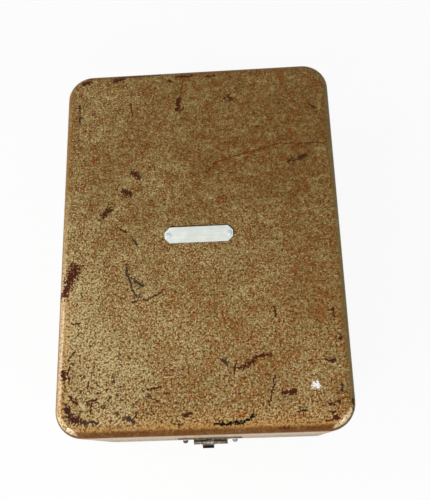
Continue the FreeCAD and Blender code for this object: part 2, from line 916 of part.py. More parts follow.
def make_keeper():
    keeper_front = f"{FRONT} - keeper_thickness"
    low = f"{KEEPER_Z} - keeper_height/2"
    size = ("keeper_width", "keeper_thickness", "keeper_height")
    face = block(size, ("-keeper_width/2", keeper_front, low))
    half = "keeper_nose_height/2"
    nose_low = "hasp_offset - keeper_nose_width/2"
    nose = join(
        block(
            ("keeper_nose_width", f"keeper_nose_reach - {half}", "keeper_nose_height"),
            (nose_low, f"{keeper_front} - keeper_nose_reach + {half}", f"{KEEPER_Z} - {half}"),
        ),
        rod(
            half,
            "keeper_nose_width",
            (nose_low, f"{keeper_front} - keeper_nose_reach + {half}", KEEPER_Z),
            "X",
        ),
    )
    rivet_ways = half_holes(keeper_rivet_spots(), "rivet_shank_radius", "Y")
    node("catch_keeper", cut(join(face, nose), *rivet_ways))
    grip = "keeper_thickness + sheet_wall"
    fixed = [rivet(grip, (x, keeper_front, z), "-Y") for x, y, z in keeper_rivet_spots()]
    node("base_rivets", group(fixed + hinge_rivets(False)))


def make_name_plate():
    half_x = "plate_length/2"
    half_y = "plate_width/2"
    nip = "plate_corner_cut"
    points = [
        (f"{nip} - {half_x}", f"-{half_y}"),
        (f"{half_x} - {nip}", f"-{half_y}"),
        (half_x, f"{nip} - {half_y}"),
        (half_x, f"{half_y} - {nip}"),
        (f"{half_x} - {nip}", half_y),
        (f"{nip} - {half_x}", half_y),
        (f"-{half_x}", f"{half_y} - {nip}"),
        (f"-{half_x}", f"{nip} - {half_y}"),
    ]
    body, pad = padded_body(points, "plate_thickness")
    put(body, ("plate_offset_x", "case_setback + plate_offset_y", LID_TOP))
    node("name_plate", cut(body, *holes(plate_rivet_spots(), "rivet_shank_radius", "Z")))
    grip = "plate_thickness + sheet_wall"
    fixed = [
        rivet(grip, (x, y, f"{z} + plate_thickness"), "Z", head_radius="plate_rivet_radius")
        for x, y, z in plate_rivet_spots()
    ]
    node("name_plate_rivets", group(fixed))


# The lantern, from the bed up and from the lamp to the lens.
def make_bed():
    length = "case_length - 2*sheet_wall - 2*bed_margin"
    board = tub(
        ("bed_width", length, "bed_thickness"), (0, "case_setback", FLOOR), "bed_corner"
    )
    spots = [(x, y, FLOOR) for x, y, z in bed_screw_spots()]
    sockets = [rod("screw_shank_radius", "screw_depth", spot) for spot in spots]
    node("bed_board", cut(board, *sockets, *bed_holes()))
    fixed = [screw("screw_depth + sheet_wall", spot, "-Z") for spot in bed_screw_spots()]
    node("bed_screws", group(fixed))


def make_lamphouse():
    middle = f"({LAMPHOUSE_FRONT} + {LAMPHOUSE_BACK})/2"
    height = f"{LAMPHOUSE_TOP} - {BED_TOP}"
    walls = tub(
        ("lamphouse_width", "lamphouse_length", height),
        (0, middle, BED_TOP),
        "lamphouse_corner",
        wall="lamphouse_wall",
        open_ends=("bottom", "top"),
    )
    flange_length = "lamphouse_length - 2*lamphouse_corner"
    flange_start = f"{LAMPHOUSE_FRONT} + lamphouse_corner"
    flanges = [
        block(
            ("lamphouse_flange + lamphouse_wall", flange_length, "lamphouse_wall"),
            (f"{near}", flange_start, BED_TOP),
        )
        for near in (
            "-lamphouse_width/2 - lamphouse_flange",
            "lamphouse_width/2 - lamphouse_wall",
        )
    ]
    vents = [
        mid_block(
            (LONG, "vent_width", "vent_height"),
            (0, f"{middle} + vent_pitch*({index} - (vents_per_side - 1)/2)", f"{BED_TOP} + vent_lift"),
        )
        for index in range(int(sheet.vents_per_side))
    ]
    light = rod(
        CONDENSER_BORE,
        "4*lamphouse_wall",
        (0, f"{LAMPHOUSE_FRONT} - 2*lamphouse_wall", AXIS_Z),
        "Y",
    )
    near_left = "-lamphouse_width/2 - 2*lamphouse_wall"
    near_right = "lamphouse_width/2 - 2*lamphouse_wall"
    inlet_way = "inlet_pin_pitch/2 + 2*inlet_pin_radius"
    inlet_hole = rod(inlet_way, "4*lamphouse_wall", (near_left, INLET_Y, INLET_Z), "X")
    switch_way = "switch_ball_radius + switch_ball_gap"
    switch_hole = rod(switch_way, "4*lamphouse_wall", (near_right, SWITCH_Y, SWITCH_Z), "X")
    screw_ways = holes(lamphouse_screw_spots(), "screw_shank_radius", "Z")
    screw_ways += half_holes(condenser_screw_spots(), "screw_shank_radius", "Y")
    body = cut(join(walls, *flanges), *vents, light, inlet_hole, switch_hole, *screw_ways)
    node("lamphouse_body", body)
    make_lamphouse_top(middle)


def make_lamphouse_top(middle):
    plate = tub(
        ("lamphouse_width", "lamphouse_length", "lamphouse_wall"),
        (0, middle, LAMPHOUSE_TOP),
        "lamphouse_corner",
    )
    inset = "(lamphouse_wall + cover_gap)"
    skirt = tub(
        (f"lamphouse_width - 2*{inset}", f"lamphouse_length - 2*{inset}", "cover_overlap"),
        (0, middle, f"{LAMPHOUSE_TOP} - cover_overlap"),
        f"lamphouse_corner - {inset}",
        wall="lamphouse_wall",
        open_ends=("bottom", "top"),
    )
    slots = [
        mid_block(
            ("cover_slot_length", "cover_slot_width", "3*lamphouse_wall"),
            (0, f"{middle} + cover_slot_pitch*({index} - (cover_slots - 1)/2)",
             f"{LAMPHOUSE_TOP} - lamphouse_wall"),
        )
        for index in range(int(sheet.cover_slots))
    ]
    node("lamphouse_cover", cut(join(plate, skirt), *slots))

    cowl_low = f"{LAMPHOUSE_TOP} + lamphouse_wall + cowl_lift"
    cowl = tub(
        ("cowl_width", "cowl_length", "cowl_height"),
        (0, middle, cowl_low),
        "lamphouse_corner",
        edge="cover_edge",
        wall="lamphouse_wall",
        open_ends=("bottom",),
    )
    posts = [
        rod(
            "cowl_post_radius",
            "cowl_lift + cowl_height - 0.5*lamphouse_wall",
            (
                f"{across}*(cowl_width/2 - cowl_post_inset)",
                f"{middle} + {along}*(cowl_length/2 - cowl_post_inset)",
                f"{LAMPHOUSE_TOP} + lamphouse_wall",
            ),
        )
        for across in SIDES.values()
        for along in ENDS.values()
    ]
    node("lamphouse_cowl", join(cowl, *posts))


def bulb_form(radius, neck_radius, low):
    """A tubular bulb that widens from its neck and ends in a dome."""
    dome = f"({AXIS_Z} + bulb_rise - bulb_radius)"
    shoulder = f"({low} + bulb_neck)"
    return join(
        taper(neck_radius, radius, "bulb_neck", (0, LAMP_Y, low)),
        rod(radius, f"{dome} - {shoulder}", (0, LAMP_Y, shoulder)),
        ball(radius, (0, LAMP_Y, dome)),
    )


def make_lamp():
    cap_low = f"{BED_TOP} + cap_seat"
    points = [
        (0, 0),
        (f"{SOCKET_RADIUS} + socket_flange", 0),
        (f"{SOCKET_RADIUS} + socket_flange", "socket_flange_height"),
        (SOCKET_RADIUS, "socket_flange_height"),
        (SOCKET_RADIUS, "socket_height"),
        (SOCKET_BORE, "socket_height"),
        (SOCKET_BORE, "cap_seat"),
        (0, "cap_seat"),
    ]
    seats = holes(socket_screw_spots(), "screw_shank_radius", "Z")
    node("lamp_socket", cut(turned(points, (0, LAMP_Y, BED_TOP)), *seats))

    node("lamp_cap", rod("cap_radius", "cap_height", (0, LAMP_Y, cap_low)))

    glass_low = f"({cap_low} + cap_height)"
    outside = bulb_form("bulb_radius", "cap_radius", glass_low)
    inside = bulb_form("bulb_radius - bulb_wall", "cap_radius - bulb_wall", glass_low)
    node("lamp_bulb", cut(outside, inside))

    post_height = f"{AXIS_Z} + filament_height/2 - {glass_low}"
    posts = [
        rod("filament_post_radius", post_height, (f"{side}*filament_width/2", LAMP_Y, glass_low))
        for side in SIDES.values()
    ]
    rails = [
        rod(
            "filament_post_radius",
            "filament_width",
            ("-filament_width/2", LAMP_Y, f"{AXIS_Z} + {end}*filament_height/2"),
            "X",
        )
        for end in ENDS.values()
    ]
    gaps = "(filament_bars + 1)"
    bars = [
        rod(
            "0.7*filament_post_radius",
            "filament_height",
            (
                f"filament_width*({index + 1}/{gaps} - 0.5)",
                LAMP_Y,
                f"{AXIS_Z} - filament_height/2",
            ),
        )
        for index in range(int(sheet.filament_bars))
    ]
    node("lamp_filament", join(*posts, *rails, *bars))


def make_reflector():
    middle = (0, LAMP_Y, AXIS_Z)
    outer = "reflector_curve + reflector_thickness"
    reach = rod("reflector_radius", f"2*({outer})", middle, "Y")
    dish = overlap(reach, cut(ball(outer, middle), ball("reflector_curve", middle)))
    node("reflector", dish)

    back = f"{LAMP_Y} + {outer}"
    upright_plate = block(
        ("bracket_width", "bracket_thickness", f"{AXIS_Z} + bracket_width/2 - {BED_TOP}"),
        ("-bracket_width/2", back, BED_TOP),
    )
    foot = block(
        ("bracket_width", "bracket_thickness + bracket_foot", "bracket_thickness"),
        ("-bracket_width/2", back, BED_TOP),
    )
    boss_length = "2*reflector_thickness"
    boss = rod(
        "reflector_boss_radius",
        f"{boss_length} + bracket_thickness",
        (0, f"{back} - {boss_length}", AXIS_Z),
        "Y",
    )
    ways = holes(bracket_screw_spots(), "screw_shank_radius", "Z")
    node("reflector_bracket", cut(join(upright_plate, foot, boss), ball(outer, middle), *ways))


def plano_lens(flat_y, bulge):
    """A plano-convex condenser lens. Its flat face is at flat_y, and it bulges along +Y or -Y."""
    depth = f"condenser_edge + {SAG}"
    axis = "Y" if bulge > 0 else "-Y"
    disc = rod("condenser_radius", depth, (0, flat_y, AXIS_Z), axis)
    centre = f"{flat_y} + {bulge}*({depth} - condenser_curve)"
    return overlap(disc, ball("condenser_curve", (0, centre, AXIS_Z)))


def make_condenser():
    length = "condenser_length"
    points = [
        (CONDENSER_BORE, 0),
        (f"{CONDENSER_OUTER} + condenser_flange", 0),
        (f"{CONDENSER_OUTER} + condenser_flange", "condenser_wall"),
        (CONDENSER_OUTER, "condenser_wall"),
        (CONDENSER_OUTER, length),
        ("condenser_radius - condenser_lip", length),
        ("condenser_radius - condenser_lip", f"{length} - condenser_lip"),
        (CONDENSER_BORE, f"{length} - condenser_lip"),
    ]
    sleeve = turned(points, (0, LAMPHOUSE_FRONT, AXIS_Z), "-Y")
    screw_ways = half_holes(condenser_screw_spots(), "screw_shank_radius", "Y")
    node("condenser_tube", cut(sleeve, *screw_ways))

    front_flat = f"({STAGE_BACK} + condenser_lip)"
    rear_flat = f"({front_flat} + 2*(condenser_edge + {SAG}) + condenser_air)"
    node("condenser_lens_front", plano_lens(front_flat, 1))
    node("condenser_lens_rear", plano_lens(rear_flat, -1))
    spacer_length = f"(2*({RING_SAG} - glass_fit) + condenser_air)"
    spacer_start = f"({front_flat} + {rear_flat} - {spacer_length})/2"
    spacer = tube(RING_BORE, "condenser_radius", spacer_length, (0, spacer_start, AXIS_Z), "Y")
    node("condenser_spacer", spacer)
    glass = rod("condenser_radius", "heat_glass_thickness", (0, rear_flat, AXIS_Z), "Y")
    node("heat_glass", glass)
    ring_start = f"{rear_flat} + heat_glass_thickness"
    ring = tube(RING_BORE, "condenser_radius", "retainer_length", (0, ring_start, AXIS_Z), "Y")
    node("condenser_ring", ring)


def make_stage():
    channel_height = f"({CARRIER_HEIGHT} + 2*slide_fit)"
    channel_depth = f"({CARRIER_THICKNESS} + 2*slide_fit)"
    top = f"{AXIS_Z} + {channel_height}/2 + stage_wall"
    frame = mid_block(("stage_width", STAGE_DEPTH, f"{top} - {BED_TOP}"), (0, SLIDE_Y, BED_TOP))
    feet = mid_block(
        ("stage_width + 2*stage_wall + 4*screw_head_radius", STAGE_DEPTH, "stage_wall"),
        (0, SLIDE_Y, BED_TOP),
    )
    channel = core_block((LONG, channel_depth, channel_height), (0, SLIDE_Y, AXIS_Z))
    gate = core_block(("gate_opening", LONG, "gate_opening"), (0, SLIDE_Y, AXIS_Z))
    arch_height = f"{AXIS_Z} - {channel_height}/2 - stage_sill - {BED_TOP}"
    arch = mid_block(("stage_arch_width", LONG, arch_height), (0, SLIDE_Y, BED_TOP))
    ways = holes(stage_screw_spots(), "screw_shank_radius", "Z")
    node("slide_stage", cut(join(frame, feet), channel, gate, arch, *ways))


def make_carrier():
    """The shuttle with a pocket for each of two slides. At rest the right pocket is in the gate."""
    rest_x = f"(-{SLIDE_PITCH}/2)"
    length = f"(2*{SLIDE_PITCH} + carrier_rib)"
    low = f"{AXIS_Z} - {CARRIER_HEIGHT}/2"
    bar = mid_block((length, CARRIER_THICKNESS, CARRIER_HEIGHT), (rest_x, SLIDE_Y, low))
    tools = []
    for name, side in SIDES.items():
        slide_x = f"({rest_x} + {side}*{SLIDE_PITCH}/2)"
        pocket = ("slide_size + 2*slide_fit", "slide_thickness + 2*slide_fit", CARRIER_HEIGHT)
        tools.append(mid_block(pocket, (slide_x, SLIDE_Y, f"{low} + carrier_rib")))
        window = ("carrier_window", LONG, "carrier_window")
        tools.append(core_block(window, (slide_x, SLIDE_Y, AXIS_Z)))
        slide = core_block(
            ("slide_size", "slide_thickness", "slide_size"), (slide_x, SLIDE_Y, AXIS_Z)
        )
        node(f"glass_slide_{name}", slide)
    grips = []
    for side, axis in ((-1, "-X"), (1, "X")):
        end = (f"{rest_x} + {side}*{length}/2", SLIDE_Y, AXIS_Z)
        neck = "0.45*carrier_knob_radius"
        points = [
            (0, 0),
            (neck, 0),
            (neck, "0.45*carrier_knob_reach"),
            ("carrier_knob_radius", "0.6*carrier_knob_reach"),
            ("carrier_knob_radius", "carrier_knob_reach"),
            (0, "carrier_knob_reach"),
        ]
        grips.append(turned(points, end, axis, crown="0.25*carrier_knob_radius"))
    node("slide_carrier", cut(bar, *tools))
    node("carrier_knobs", group(grips))


def make_lens_mount():
    hole = through_rod(JACKET_RADIUS, (0, JACKET_BACK, AXIS_Z), "Y")
    half = "standard_width/2"
    plate = join(
        block(
            ("standard_width", "standard_thickness", f"{AXIS_Z} - {BED_TOP}"),
            (f"-{half}", JACKET_BACK, BED_TOP),
        ),
        rod(half, "standard_thickness", (0, JACKET_BACK, AXIS_Z), "Y"),
        block(
            ("standard_width", "standard_thickness + standard_foot", "standard_thickness"),
            (f"-{half}", JACKET_BACK, BED_TOP),
        ),
    )
    ways = holes(standard_screw_spots(), "screw_shank_radius", "Z")
    ways += holes(jacket_screw_spots(), "screw_shank_radius", "Y")
    node("lens_standard", cut(plate, hole, *ways))

    flange = "jacket_flange_thickness"
    points = [
        (JACKET_BORE, "-standard_thickness"),
        (JACKET_RADIUS, "-standard_thickness"),
        (JACKET_RADIUS, 0),
        (f"{JACKET_RADIUS} + jacket_flange", 0),
        (f"{JACKET_RADIUS} + jacket_flange", flange),
        (JACKET_RADIUS, flange),
        (JACKET_RADIUS, "jacket_length"),
        (JACKET_BORE, "jacket_length"),
    ]
    sleeve = turned(points, (0, JACKET_BACK, AXIS_Z), "-Y")
    slot = block(
        (
            "rack_width + 2*rack_side_gap",
            f"jacket_length - {flange} + 1",
            "2*jacket_wall + 2*rack_lift",
        ),
        (
            "-rack_width/2 - rack_side_gap",
            f"{JACKET_FRONT} - 1",
            f"{AXIS_Z} + barrel_radius - jacket_wall",
        ),
    )
    screw_ways = holes(jacket_screw_spots(), "screw_shank_radius", "Y")
    node("lens_jacket", cut(sleeve, slot, *screw_ways))


def make_lens():
    seat = "(barrel_radius - barrel_seat_wall)"
    land = "(barrel_radius - barrel_land_wall)"
    length = "barrel_length"
    points = [
        (seat, 0),
        ("barrel_radius", 0),
        ("barrel_radius", length),
        (seat, length),
        (seat, f"{length} - barrel_seat_depth"),
        (land, f"{length} - barrel_seat_depth"),
        (land, "barrel_seat_depth"),
        (seat, "barrel_seat_depth"),
    ]
    body = turned(points, (0, LENS_FRONT, AXIS_Z), "Y")
    groove = block(
        ("rack_width", rack_length(), "barrel_radius"),
        ("-rack_width/2", rack_start(), f"{AXIS_Z} + barrel_radius - rack_bed"),
    )
    node("lens_barrel", cut(body, groove))

    glass_radius = f"{seat} - glass_fit"
    bulge = f"(objective_curve - sqrt(objective_curve^2 - ({glass_radius})^2))"
    land_bulge = f"(objective_curve - sqrt(objective_curve^2 - {land}^2))"
    offset = f"objective_curve - {bulge} - objective_edge/2"
    inset = f"(barrel_seat_depth - objective_edge/2 - {bulge} + {land_bulge} - glass_fit)"
    middles = {
        "front": f"{LENS_FRONT} + {inset}",
        "rear": f"{LENS_FRONT} + {length} - {inset}",
    }
    for name, middle in middles.items():
        pair = [ball("objective_curve", (0, f"{middle} + {end}*({offset})", AXIS_Z)) for end in (-1, 1)]
        disc_length = f"2*{bulge} + objective_edge"
        disc = rod(glass_radius, disc_length, (0, f"{middle} - ({disc_length})/2", AXIS_Z), "Y")
        node(f"objective_{name}", overlap(disc, *pair))

    ring_points = [
        (f"{seat} - barrel_seat_wall", "-barrel_seat_wall"),
        ("barrel_radius + front_ring_wall", "-barrel_seat_wall"),
        ("barrel_radius + front_ring_wall", "front_ring_length"),
        ("barrel_radius", "front_ring_length"),
        ("barrel_radius", 0),
        (f"{seat} - barrel_seat_wall", 0),
    ]
    node("lens_front_ring", turned(ring_points, (0, LENS_FRONT, AXIS_Z), "Y"))
    rear_start = f"{LENS_FRONT} + {length} - rear_ring_length"
    rear = tube(f"{seat} - barrel_seat_wall", seat, "rear_ring_length", (0, rear_start, AXIS_Z), "Y")
    node("lens_rear_ring", rear)


# The rack and the pinion share a module. Their flanks are straight, at the pressure angle.
PRESSURE_ANGLE = math.radians(20)
ADDENDUM = 0.8
DEDENDUM = 1.05


def rack_pitch():
    return "(3.14159265*gear_module)"


def rack_start():
    return f"({PINION_Y} - rack_front_teeth*{rack_pitch()})"


def rack_length():
    return f"((rack_front_teeth + rack_back_teeth)*{rack_pitch()})"


def extruded(corners, thickness):
    """A solid from an outline in the XY plane, drawn up along Z."""
    wire = Part.makePolygon([FreeCAD.Vector(x, y, 0) for x, y in corners + corners[:1]])
    return Part.Face(wire).extrude(FreeCAD.Vector(0, 0, thickness))


def shaped(shape):
    thing = doc.addObject("Part::Feature", "shaped")
    thing.Shape = shape
    return thing


def rack_shape():
    """The rack along X with its pitch line on X, a gap at the origin, and its width along Z."""
    module = sheet.gear_module
    pitch = math.pi * module
    lean = math.tan(PRESSURE_ANGLE)
    half = pitch / 4 - sheet.tooth_backlash / 2
    top, root = ADDENDUM * module, -DEDENDUM * module
    low = -(sheet.rack_lift + sheet.rack_bed)
    start, end = -sheet.rack_front_teeth * pitch, sheet.rack_back_teeth * pitch
    corners = [(start, low), (start, root)]
    for number in range(-int(sheet.rack_front_teeth), int(sheet.rack_back_teeth)):
        middle = (number + 0.5) * pitch
        corners += [
            (middle - half + root * lean, root),
            (middle - half + top * lean, top),
            (middle + half - top * lean, top),
            (middle + half - root * lean, root),
        ]
    corners += [(end, root), (end, low)]
    return extruded(corners[::-1], sheet.rack_width)


def pinion_shape():
    """The pinion about Z, with a tooth pointing down -Y, where it meets the rack's gap."""
    module = sheet.gear_module
    count = int(sheet.pinion_teeth)
    pitch_radius = module * count / 2
    half = (math.pi * module / 2 - sheet.tooth_backlash) / 2
    slope = math.tan(PRESSURE_ANGLE)
    top, root = ADDENDUM * module, -DEDENDUM * module
    corners = []
    for number in range(count):
        turn = 2 * math.pi * number / count - math.pi / 2
        for across, out in (
            (-half - 0.25 * root * slope, root),
            (-half, 0.0),
            (-half + 1.5 * top * slope, top),
            (half - 1.5 * top * slope, top),
            (half, 0.0),
            (half + 0.25 * root * slope, root),
        ):
            radius = pitch_radius + out
            corners.append(
                (
                    radius * math.cos(turn) - across * math.sin(turn),
                    radius * math.sin(turn) + across * math.cos(turn),
                )
            )
    return extruded(corners, sheet.rack_width)


def knurled_shape(radius, width, bore):
    """A knob about Z with a knurled rim and a through bore."""
    count = int(sheet.knurl_count)
    corners = []
    for number in range(2 * count):
        reach = radius - (sheet.knurl_depth if number % 2 else 0)
        turn = math.pi * number / count
        corners.append((reach * math.cos(turn), reach * math.sin(turn)))
    rim = extruded(corners, width)
    blank = Part.makeCone(radius - width / 6, radius + width / 3, width / 2)
    upper = blank.mirror(FreeCAD.Vector(0, 0, width / 2), FreeCAD.Vector(0, 0, 1))
    return rim.common(blank.fuse(upper)).cut(Part.makeCylinder(bore, width))


def make_focus():
    along_y = FreeCAD.Rotation(FreeCAD.Vector(0, 1, 0), FreeCAD.Vector(0, 0, 1), FreeCAD.Vector(1, 0, 0))
    rack = shaped(rack_shape())
    put(rack, ("-rack_width/2", PINION_Y, f"{AXIS_Z} + barrel_radius + rack_lift"))
    rack.Placement.Rotation = along_y
    node("lens_rack", rack)

    wheel = shaped(pinion_shape())
    put(wheel, ("-rack_width/2", PINION_Y, PINION_Z))
    wheel.Placement.Rotation = along_y
    near = "saddle_width/2 + focus_knob_gap"
    reach = f"2*({near} + focus_knob_width)"
    shaft = rod("focus_shaft_radius", reach, (f"-({reach})/2", PINION_Y, PINION_Z), "X")
    node("focus_pinion", join(wheel, shaft))

    knobs = []
    for side in SIDES.values():
        shape = knurled_shape(
            sheet.focus_knob_radius, sheet.focus_knob_width, sheet.focus_shaft_radius
        )
        middle = f"{side}*({near} + focus_knob_width/2)"
        start = (f"{middle} - focus_knob_width/2", PINION_Y, PINION_Z)
        knobs.append(put(shaped(shape), start, "X"))
    node("focus_knobs", group(knobs))

    tip = f"{PITCH_RADIUS} + {ADDENDUM}*gear_module + saddle_gap"
    roof = f"{PINION_Z} + {tip} + saddle_roof"
    body = mid_block(
        ("saddle_width", "saddle_length", f"{roof} - {AXIS_Z}"), (0, PINION_Y, AXIS_Z)
    )
    seat = through_rod(JACKET_RADIUS, (0, PINION_Y, AXIS_Z), "Y")
    room = mid_block(
        ("rack_width + 2*rack_side_gap", LONG, f"{PINION_Z} + {tip} - {AXIS_Z}"),
        (0, PINION_Y, AXIS_Z),
    )
    bore = through_rod("focus_shaft_radius + pin_clearance", (0, PINION_Y, PINION_Z), "X")
    node("pinion_saddle", cut(body, seat, room, bore))


def make_switch():
    wall_x = "lamphouse_width/2"
    pivot = (f"{wall_x} + switch_ball_radius", SWITCH_Y, SWITCH_Z)
    spot = (wall_x, SWITCH_Y, SWITCH_Z)
    seat = "switch_ball_radius + switch_ball_gap"
    mouth_length = "switch_bush_length - switch_ball_radius"
    bush = cut(
        rod("switch_bush_radius", "switch_bush_length", spot, "X"),
        rod(seat, "switch_ball_radius", spot, "X"),
        taper(seat, "switch_mouth_radius", mouth_length, pivot, "X"),
        through_rod("switch_pin_radius + pin_clearance", pivot, "Y"),
    )
    node("switch_bush", bush)
    box = block(
        ("switch_body_depth", "switch_body_width", "switch_body_width"),
        (
            f"{wall_x} - lamphouse_wall - switch_body_depth",
            f"{SWITCH_Y} - switch_body_width/2",
            f"{SWITCH_Z} - switch_body_width/2",
        ),
    )
    node("switch_body", box)
    lever = join(
        ball("switch_ball_radius", (0, 0, 0)),
        taper("switch_lever_radius", "1.35*switch_lever_radius", "switch_lever_length", (0, 0, 0)),
        ball("1.35*switch_lever_radius", (0, 0, "switch_lever_length")),
        rod("switch_pin_radius", "switch_pin_length", (0, "-switch_pin_length/2", 0), "Y"),
    )
    put(lever, pivot)
    lever.Placement.Rotation = FreeCAD.Rotation(
        FreeCAD.Vector(0, 1, 0), 90 + sheet.switch_rest_angle
    )
    lever.setExpression("Placement.Rotation.Angle", bound("90 + switch_rest_angle"))
    node("switch_toggle", lever)


def make_inlet():
    wall_x = "-lamphouse_width/2"
    inside = "(inlet_radius - inlet_wall)"
    points = [
        (0, 0),
        ("inlet_radius + inlet_flange", 0),
        ("inlet_radius + inlet_flange", "inlet_flange_thickness"),
        ("inlet_radius", "inlet_flange_thickness"),
        ("inlet_radius", "inlet_length"),
        (inside, "inlet_length"),
        (inside, "inlet_base"),
        (0, "inlet_base"),
    ]
    shroud = turned(points, (wall_x, INLET_Y, INLET_Z), "-X")
    shoulder = "inlet_pin_tail + inlet_base"
    tip = "inlet_pin_tail + inlet_length - inlet_pin_inset"
    ways = [rod("inlet_tail_radius", shoulder, spot, "-X") for spot in inlet_pin_spots()]
    node("inlet_shroud", cut(shroud, *ways))
    pin_points = [
        (0, 0),
        ("inlet_tail_radius", 0),
        ("inlet_tail_radius", shoulder),
        ("inlet_pin_radius", shoulder),
        ("inlet_pin_radius", tip),
        (0, tip),
    ]
    node("inlet_pins", group([turned(pin_points, spot, "-X") for spot in inlet_pin_spots()]))


def step(place, axis, length):
    """The place moved along a signed axis."""
    sign = "-" if axis.startswith("-") else "+"
    moved = dict(zip("XYZ", place))
    moved[axis[-1]] = f"{moved[axis[-1]]} {sign} ({length})"
    return [moved[letter] for letter in "XYZ"]


def heading(axis):
    return TURNS[axis].multVec(FreeCAD.Vector(0, 0, 1))


def elbow(corner, axis, next_axis):
    """A quarter bend of wire that rounds a corner between two runs."""
    thing = doc.addObject("Part::Torus", "elbow")
    tie(thing, Radius1="wire_bend", Radius2="wire_radius")
    thing.Angle3 = 90
    backward = axis[1:] if axis.startswith("-") else f"-{axis}"
    middle = step(step(corner, backward, "wire_bend"), next_axis, "wire_bend")
    put(thing, middle)
    start = heading(next_axis).negative()
    end = heading(axis)
    thing.Placement.Rotation = FreeCAD.Rotation(start, end, start.cross(end))
    return thing


def wire(start, runs):
    """A wire of straight runs along the axes, joined by quarter bends."""
    place = start
    pieces = []
    for index, (axis, length) in enumerate(runs):
        trim_start = "wire_bend" if index else 0
        trim_end = "wire_bend" if index < len(runs) - 1 else 0
        straight = f"({length}) - {trim_start} - {trim_end}"
        pieces.append(rod("wire_radius", straight, step(place, axis, trim_start), axis))
        place = step(place, axis, length)
        if trim_end:
            pieces.append(elbow(place, axis, runs[index + 1][0]))
    return join(*pieces)


def make_wires():
    """From the inlet to the socket, from the inlet to the switch, and from the switch to the socket."""
    front_pin, back_pin = inlet_pin_spots()
    pin_x = "(lamphouse_width/2 - inlet_pin_tail)"
    drop_x = f"({pin_x} - wire_drop_gap)"
    terminal_z = f"({BED_TOP} + wire_terminal_rise)"
    floor_z = f"({BED_TOP} + wire_floor_gap + wire_radius)"
    switch_x = "(lamphouse_width/2 - lamphouse_wall - switch_body_depth/2)"
    switch_low = f"({SWITCH_Z} - switch_body_width/2)"
    near_y = f"({SWITCH_Y} - switch_terminal_pitch/2)"
    far_y = f"({SWITCH_Y} + switch_terminal_pitch/2)"
    inlet_to_socket = wire(
        back_pin,
        [
            ("X", "wire_drop_gap"),
            ("-Z", f"{INLET_Z} - {terminal_z}"),
            ("-Y", f"{INLET_Y} + inlet_pin_pitch/2 - {LAMP_Y}"),
            ("X", f"{drop_x} - {SOCKET_RADIUS}"),
        ],
    )
    inlet_to_switch = wire(
        front_pin,
        [
            ("X", "wire_drop_gap"),
            ("-Z", f"{INLET_Z} - {floor_z}"),
            ("-Y", f"{INLET_Y} - inlet_pin_pitch/2 - {near_y}"),
            ("X", f"{drop_x} + {switch_x}"),
            ("Z", f"{switch_low} - {floor_z}"),
        ],
    )
    switch_to_socket = wire(
        (switch_x, far_y, switch_low),
        [
            ("-Z", f"{switch_low} - {terminal_z}"),
            ("Y", f"{LAMP_Y} - {far_y}"),
            ("-X", f"{switch_x} - {SOCKET_RADIUS}"),
        ],
    )
    node("lamp_wires", group([inlet_to_socket, inlet_to_switch, switch_to_socket]))


def make_fixings():
    """Every screw that goes down into the bed, as one set."""
    spots = [*lamphouse_screw_spots(), *standard_screw_spots(), *stage_screw_spots()]
    spots += [*bracket_screw_spots(), *socket_screw_spots()]
    fixed = [screw(f"{z} - {BED_TOP} + screw_depth", (x, y, z)) for x, y, z in spots]
    node("fixing_screws", group(fixed))
    jacket_grip = "jacket_flange_thickness + standard_thickness"
    fixed = [screw(jacket_grip, spot, "-Y") for spot in jacket_screw_spots()]
    condenser_grip = "condenser_wall + lamphouse_wall"
    fixed += [screw(condenser_grip, spot, "-Y") for spot in condenser_screw_spots()]
    node("flange_screws", group(fixed))


def build():
    make_base()
    make_lid()
    make_feet()
    make_hinges()
    make_latch()
    make_name_plate()
    make_bed()
    make_lamphouse()
    make_lamp()
    make_reflector()
    make_condenser()
    make_stage()
    make_carrier()
    make_lens_mount()
    make_lens()
    make_focus()
    make_switch()
    make_inlet()
    make_wires()
    make_fixings()
    doc.recompute()


def check():
    """Stops if any object failed, or a sub-part's shape is empty or not valid."""
    for thing in doc.Objects:
        if {"Invalid", "Error"} & set(thing.State):
            raise RuntimeError(f"{thing.Label} ({thing.Name}) failed: {thing.State}")
    for label, thing in nodes.items():
        shape = thing.Shape
        if shape.isNull() or not shape.isValid() or not shape.Solids:
            raise RuntimeError(f"{label} has no valid solid")


def write():
    os.makedirs("parts", exist_ok=True)
    for label, thing in nodes.items():
        thing.Shape.exportStep(f"parts/{label}.step")


build()
check()
write()
print(f"{len(nodes)} sub-parts")
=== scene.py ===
"""The lantern in its carrying case: the finish of every piece, the floor, the light and the camera."""

import json
import math

import bpy
from mathutils import Matrix, Vector


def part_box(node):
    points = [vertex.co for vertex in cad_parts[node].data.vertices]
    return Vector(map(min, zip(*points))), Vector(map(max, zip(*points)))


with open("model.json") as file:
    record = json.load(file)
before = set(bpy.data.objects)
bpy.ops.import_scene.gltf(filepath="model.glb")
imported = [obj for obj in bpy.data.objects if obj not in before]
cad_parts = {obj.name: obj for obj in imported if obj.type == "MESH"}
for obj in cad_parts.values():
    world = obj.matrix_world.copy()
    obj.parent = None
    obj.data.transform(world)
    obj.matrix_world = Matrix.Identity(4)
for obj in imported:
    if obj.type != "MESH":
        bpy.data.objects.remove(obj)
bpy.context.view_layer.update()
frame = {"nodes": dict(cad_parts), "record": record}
MM = 0.001

# The case's outline, and the level where its lid and base meet.
LID_LOW, LID_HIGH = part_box("lid")
LEFT, FRONT, TOP = LID_LOW.x, LID_LOW.y, LID_HIGH.z
SEAM = (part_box("base_tray")[1].z + LID_LOW.z) / 2
CASE_MIDDLE = (0.0, (LID_LOW.y + LID_HIGH.y) / 2, SEAM)

# How far the plate's corners are cut back, in millimetres.
PLATE_CORNER = 4.2

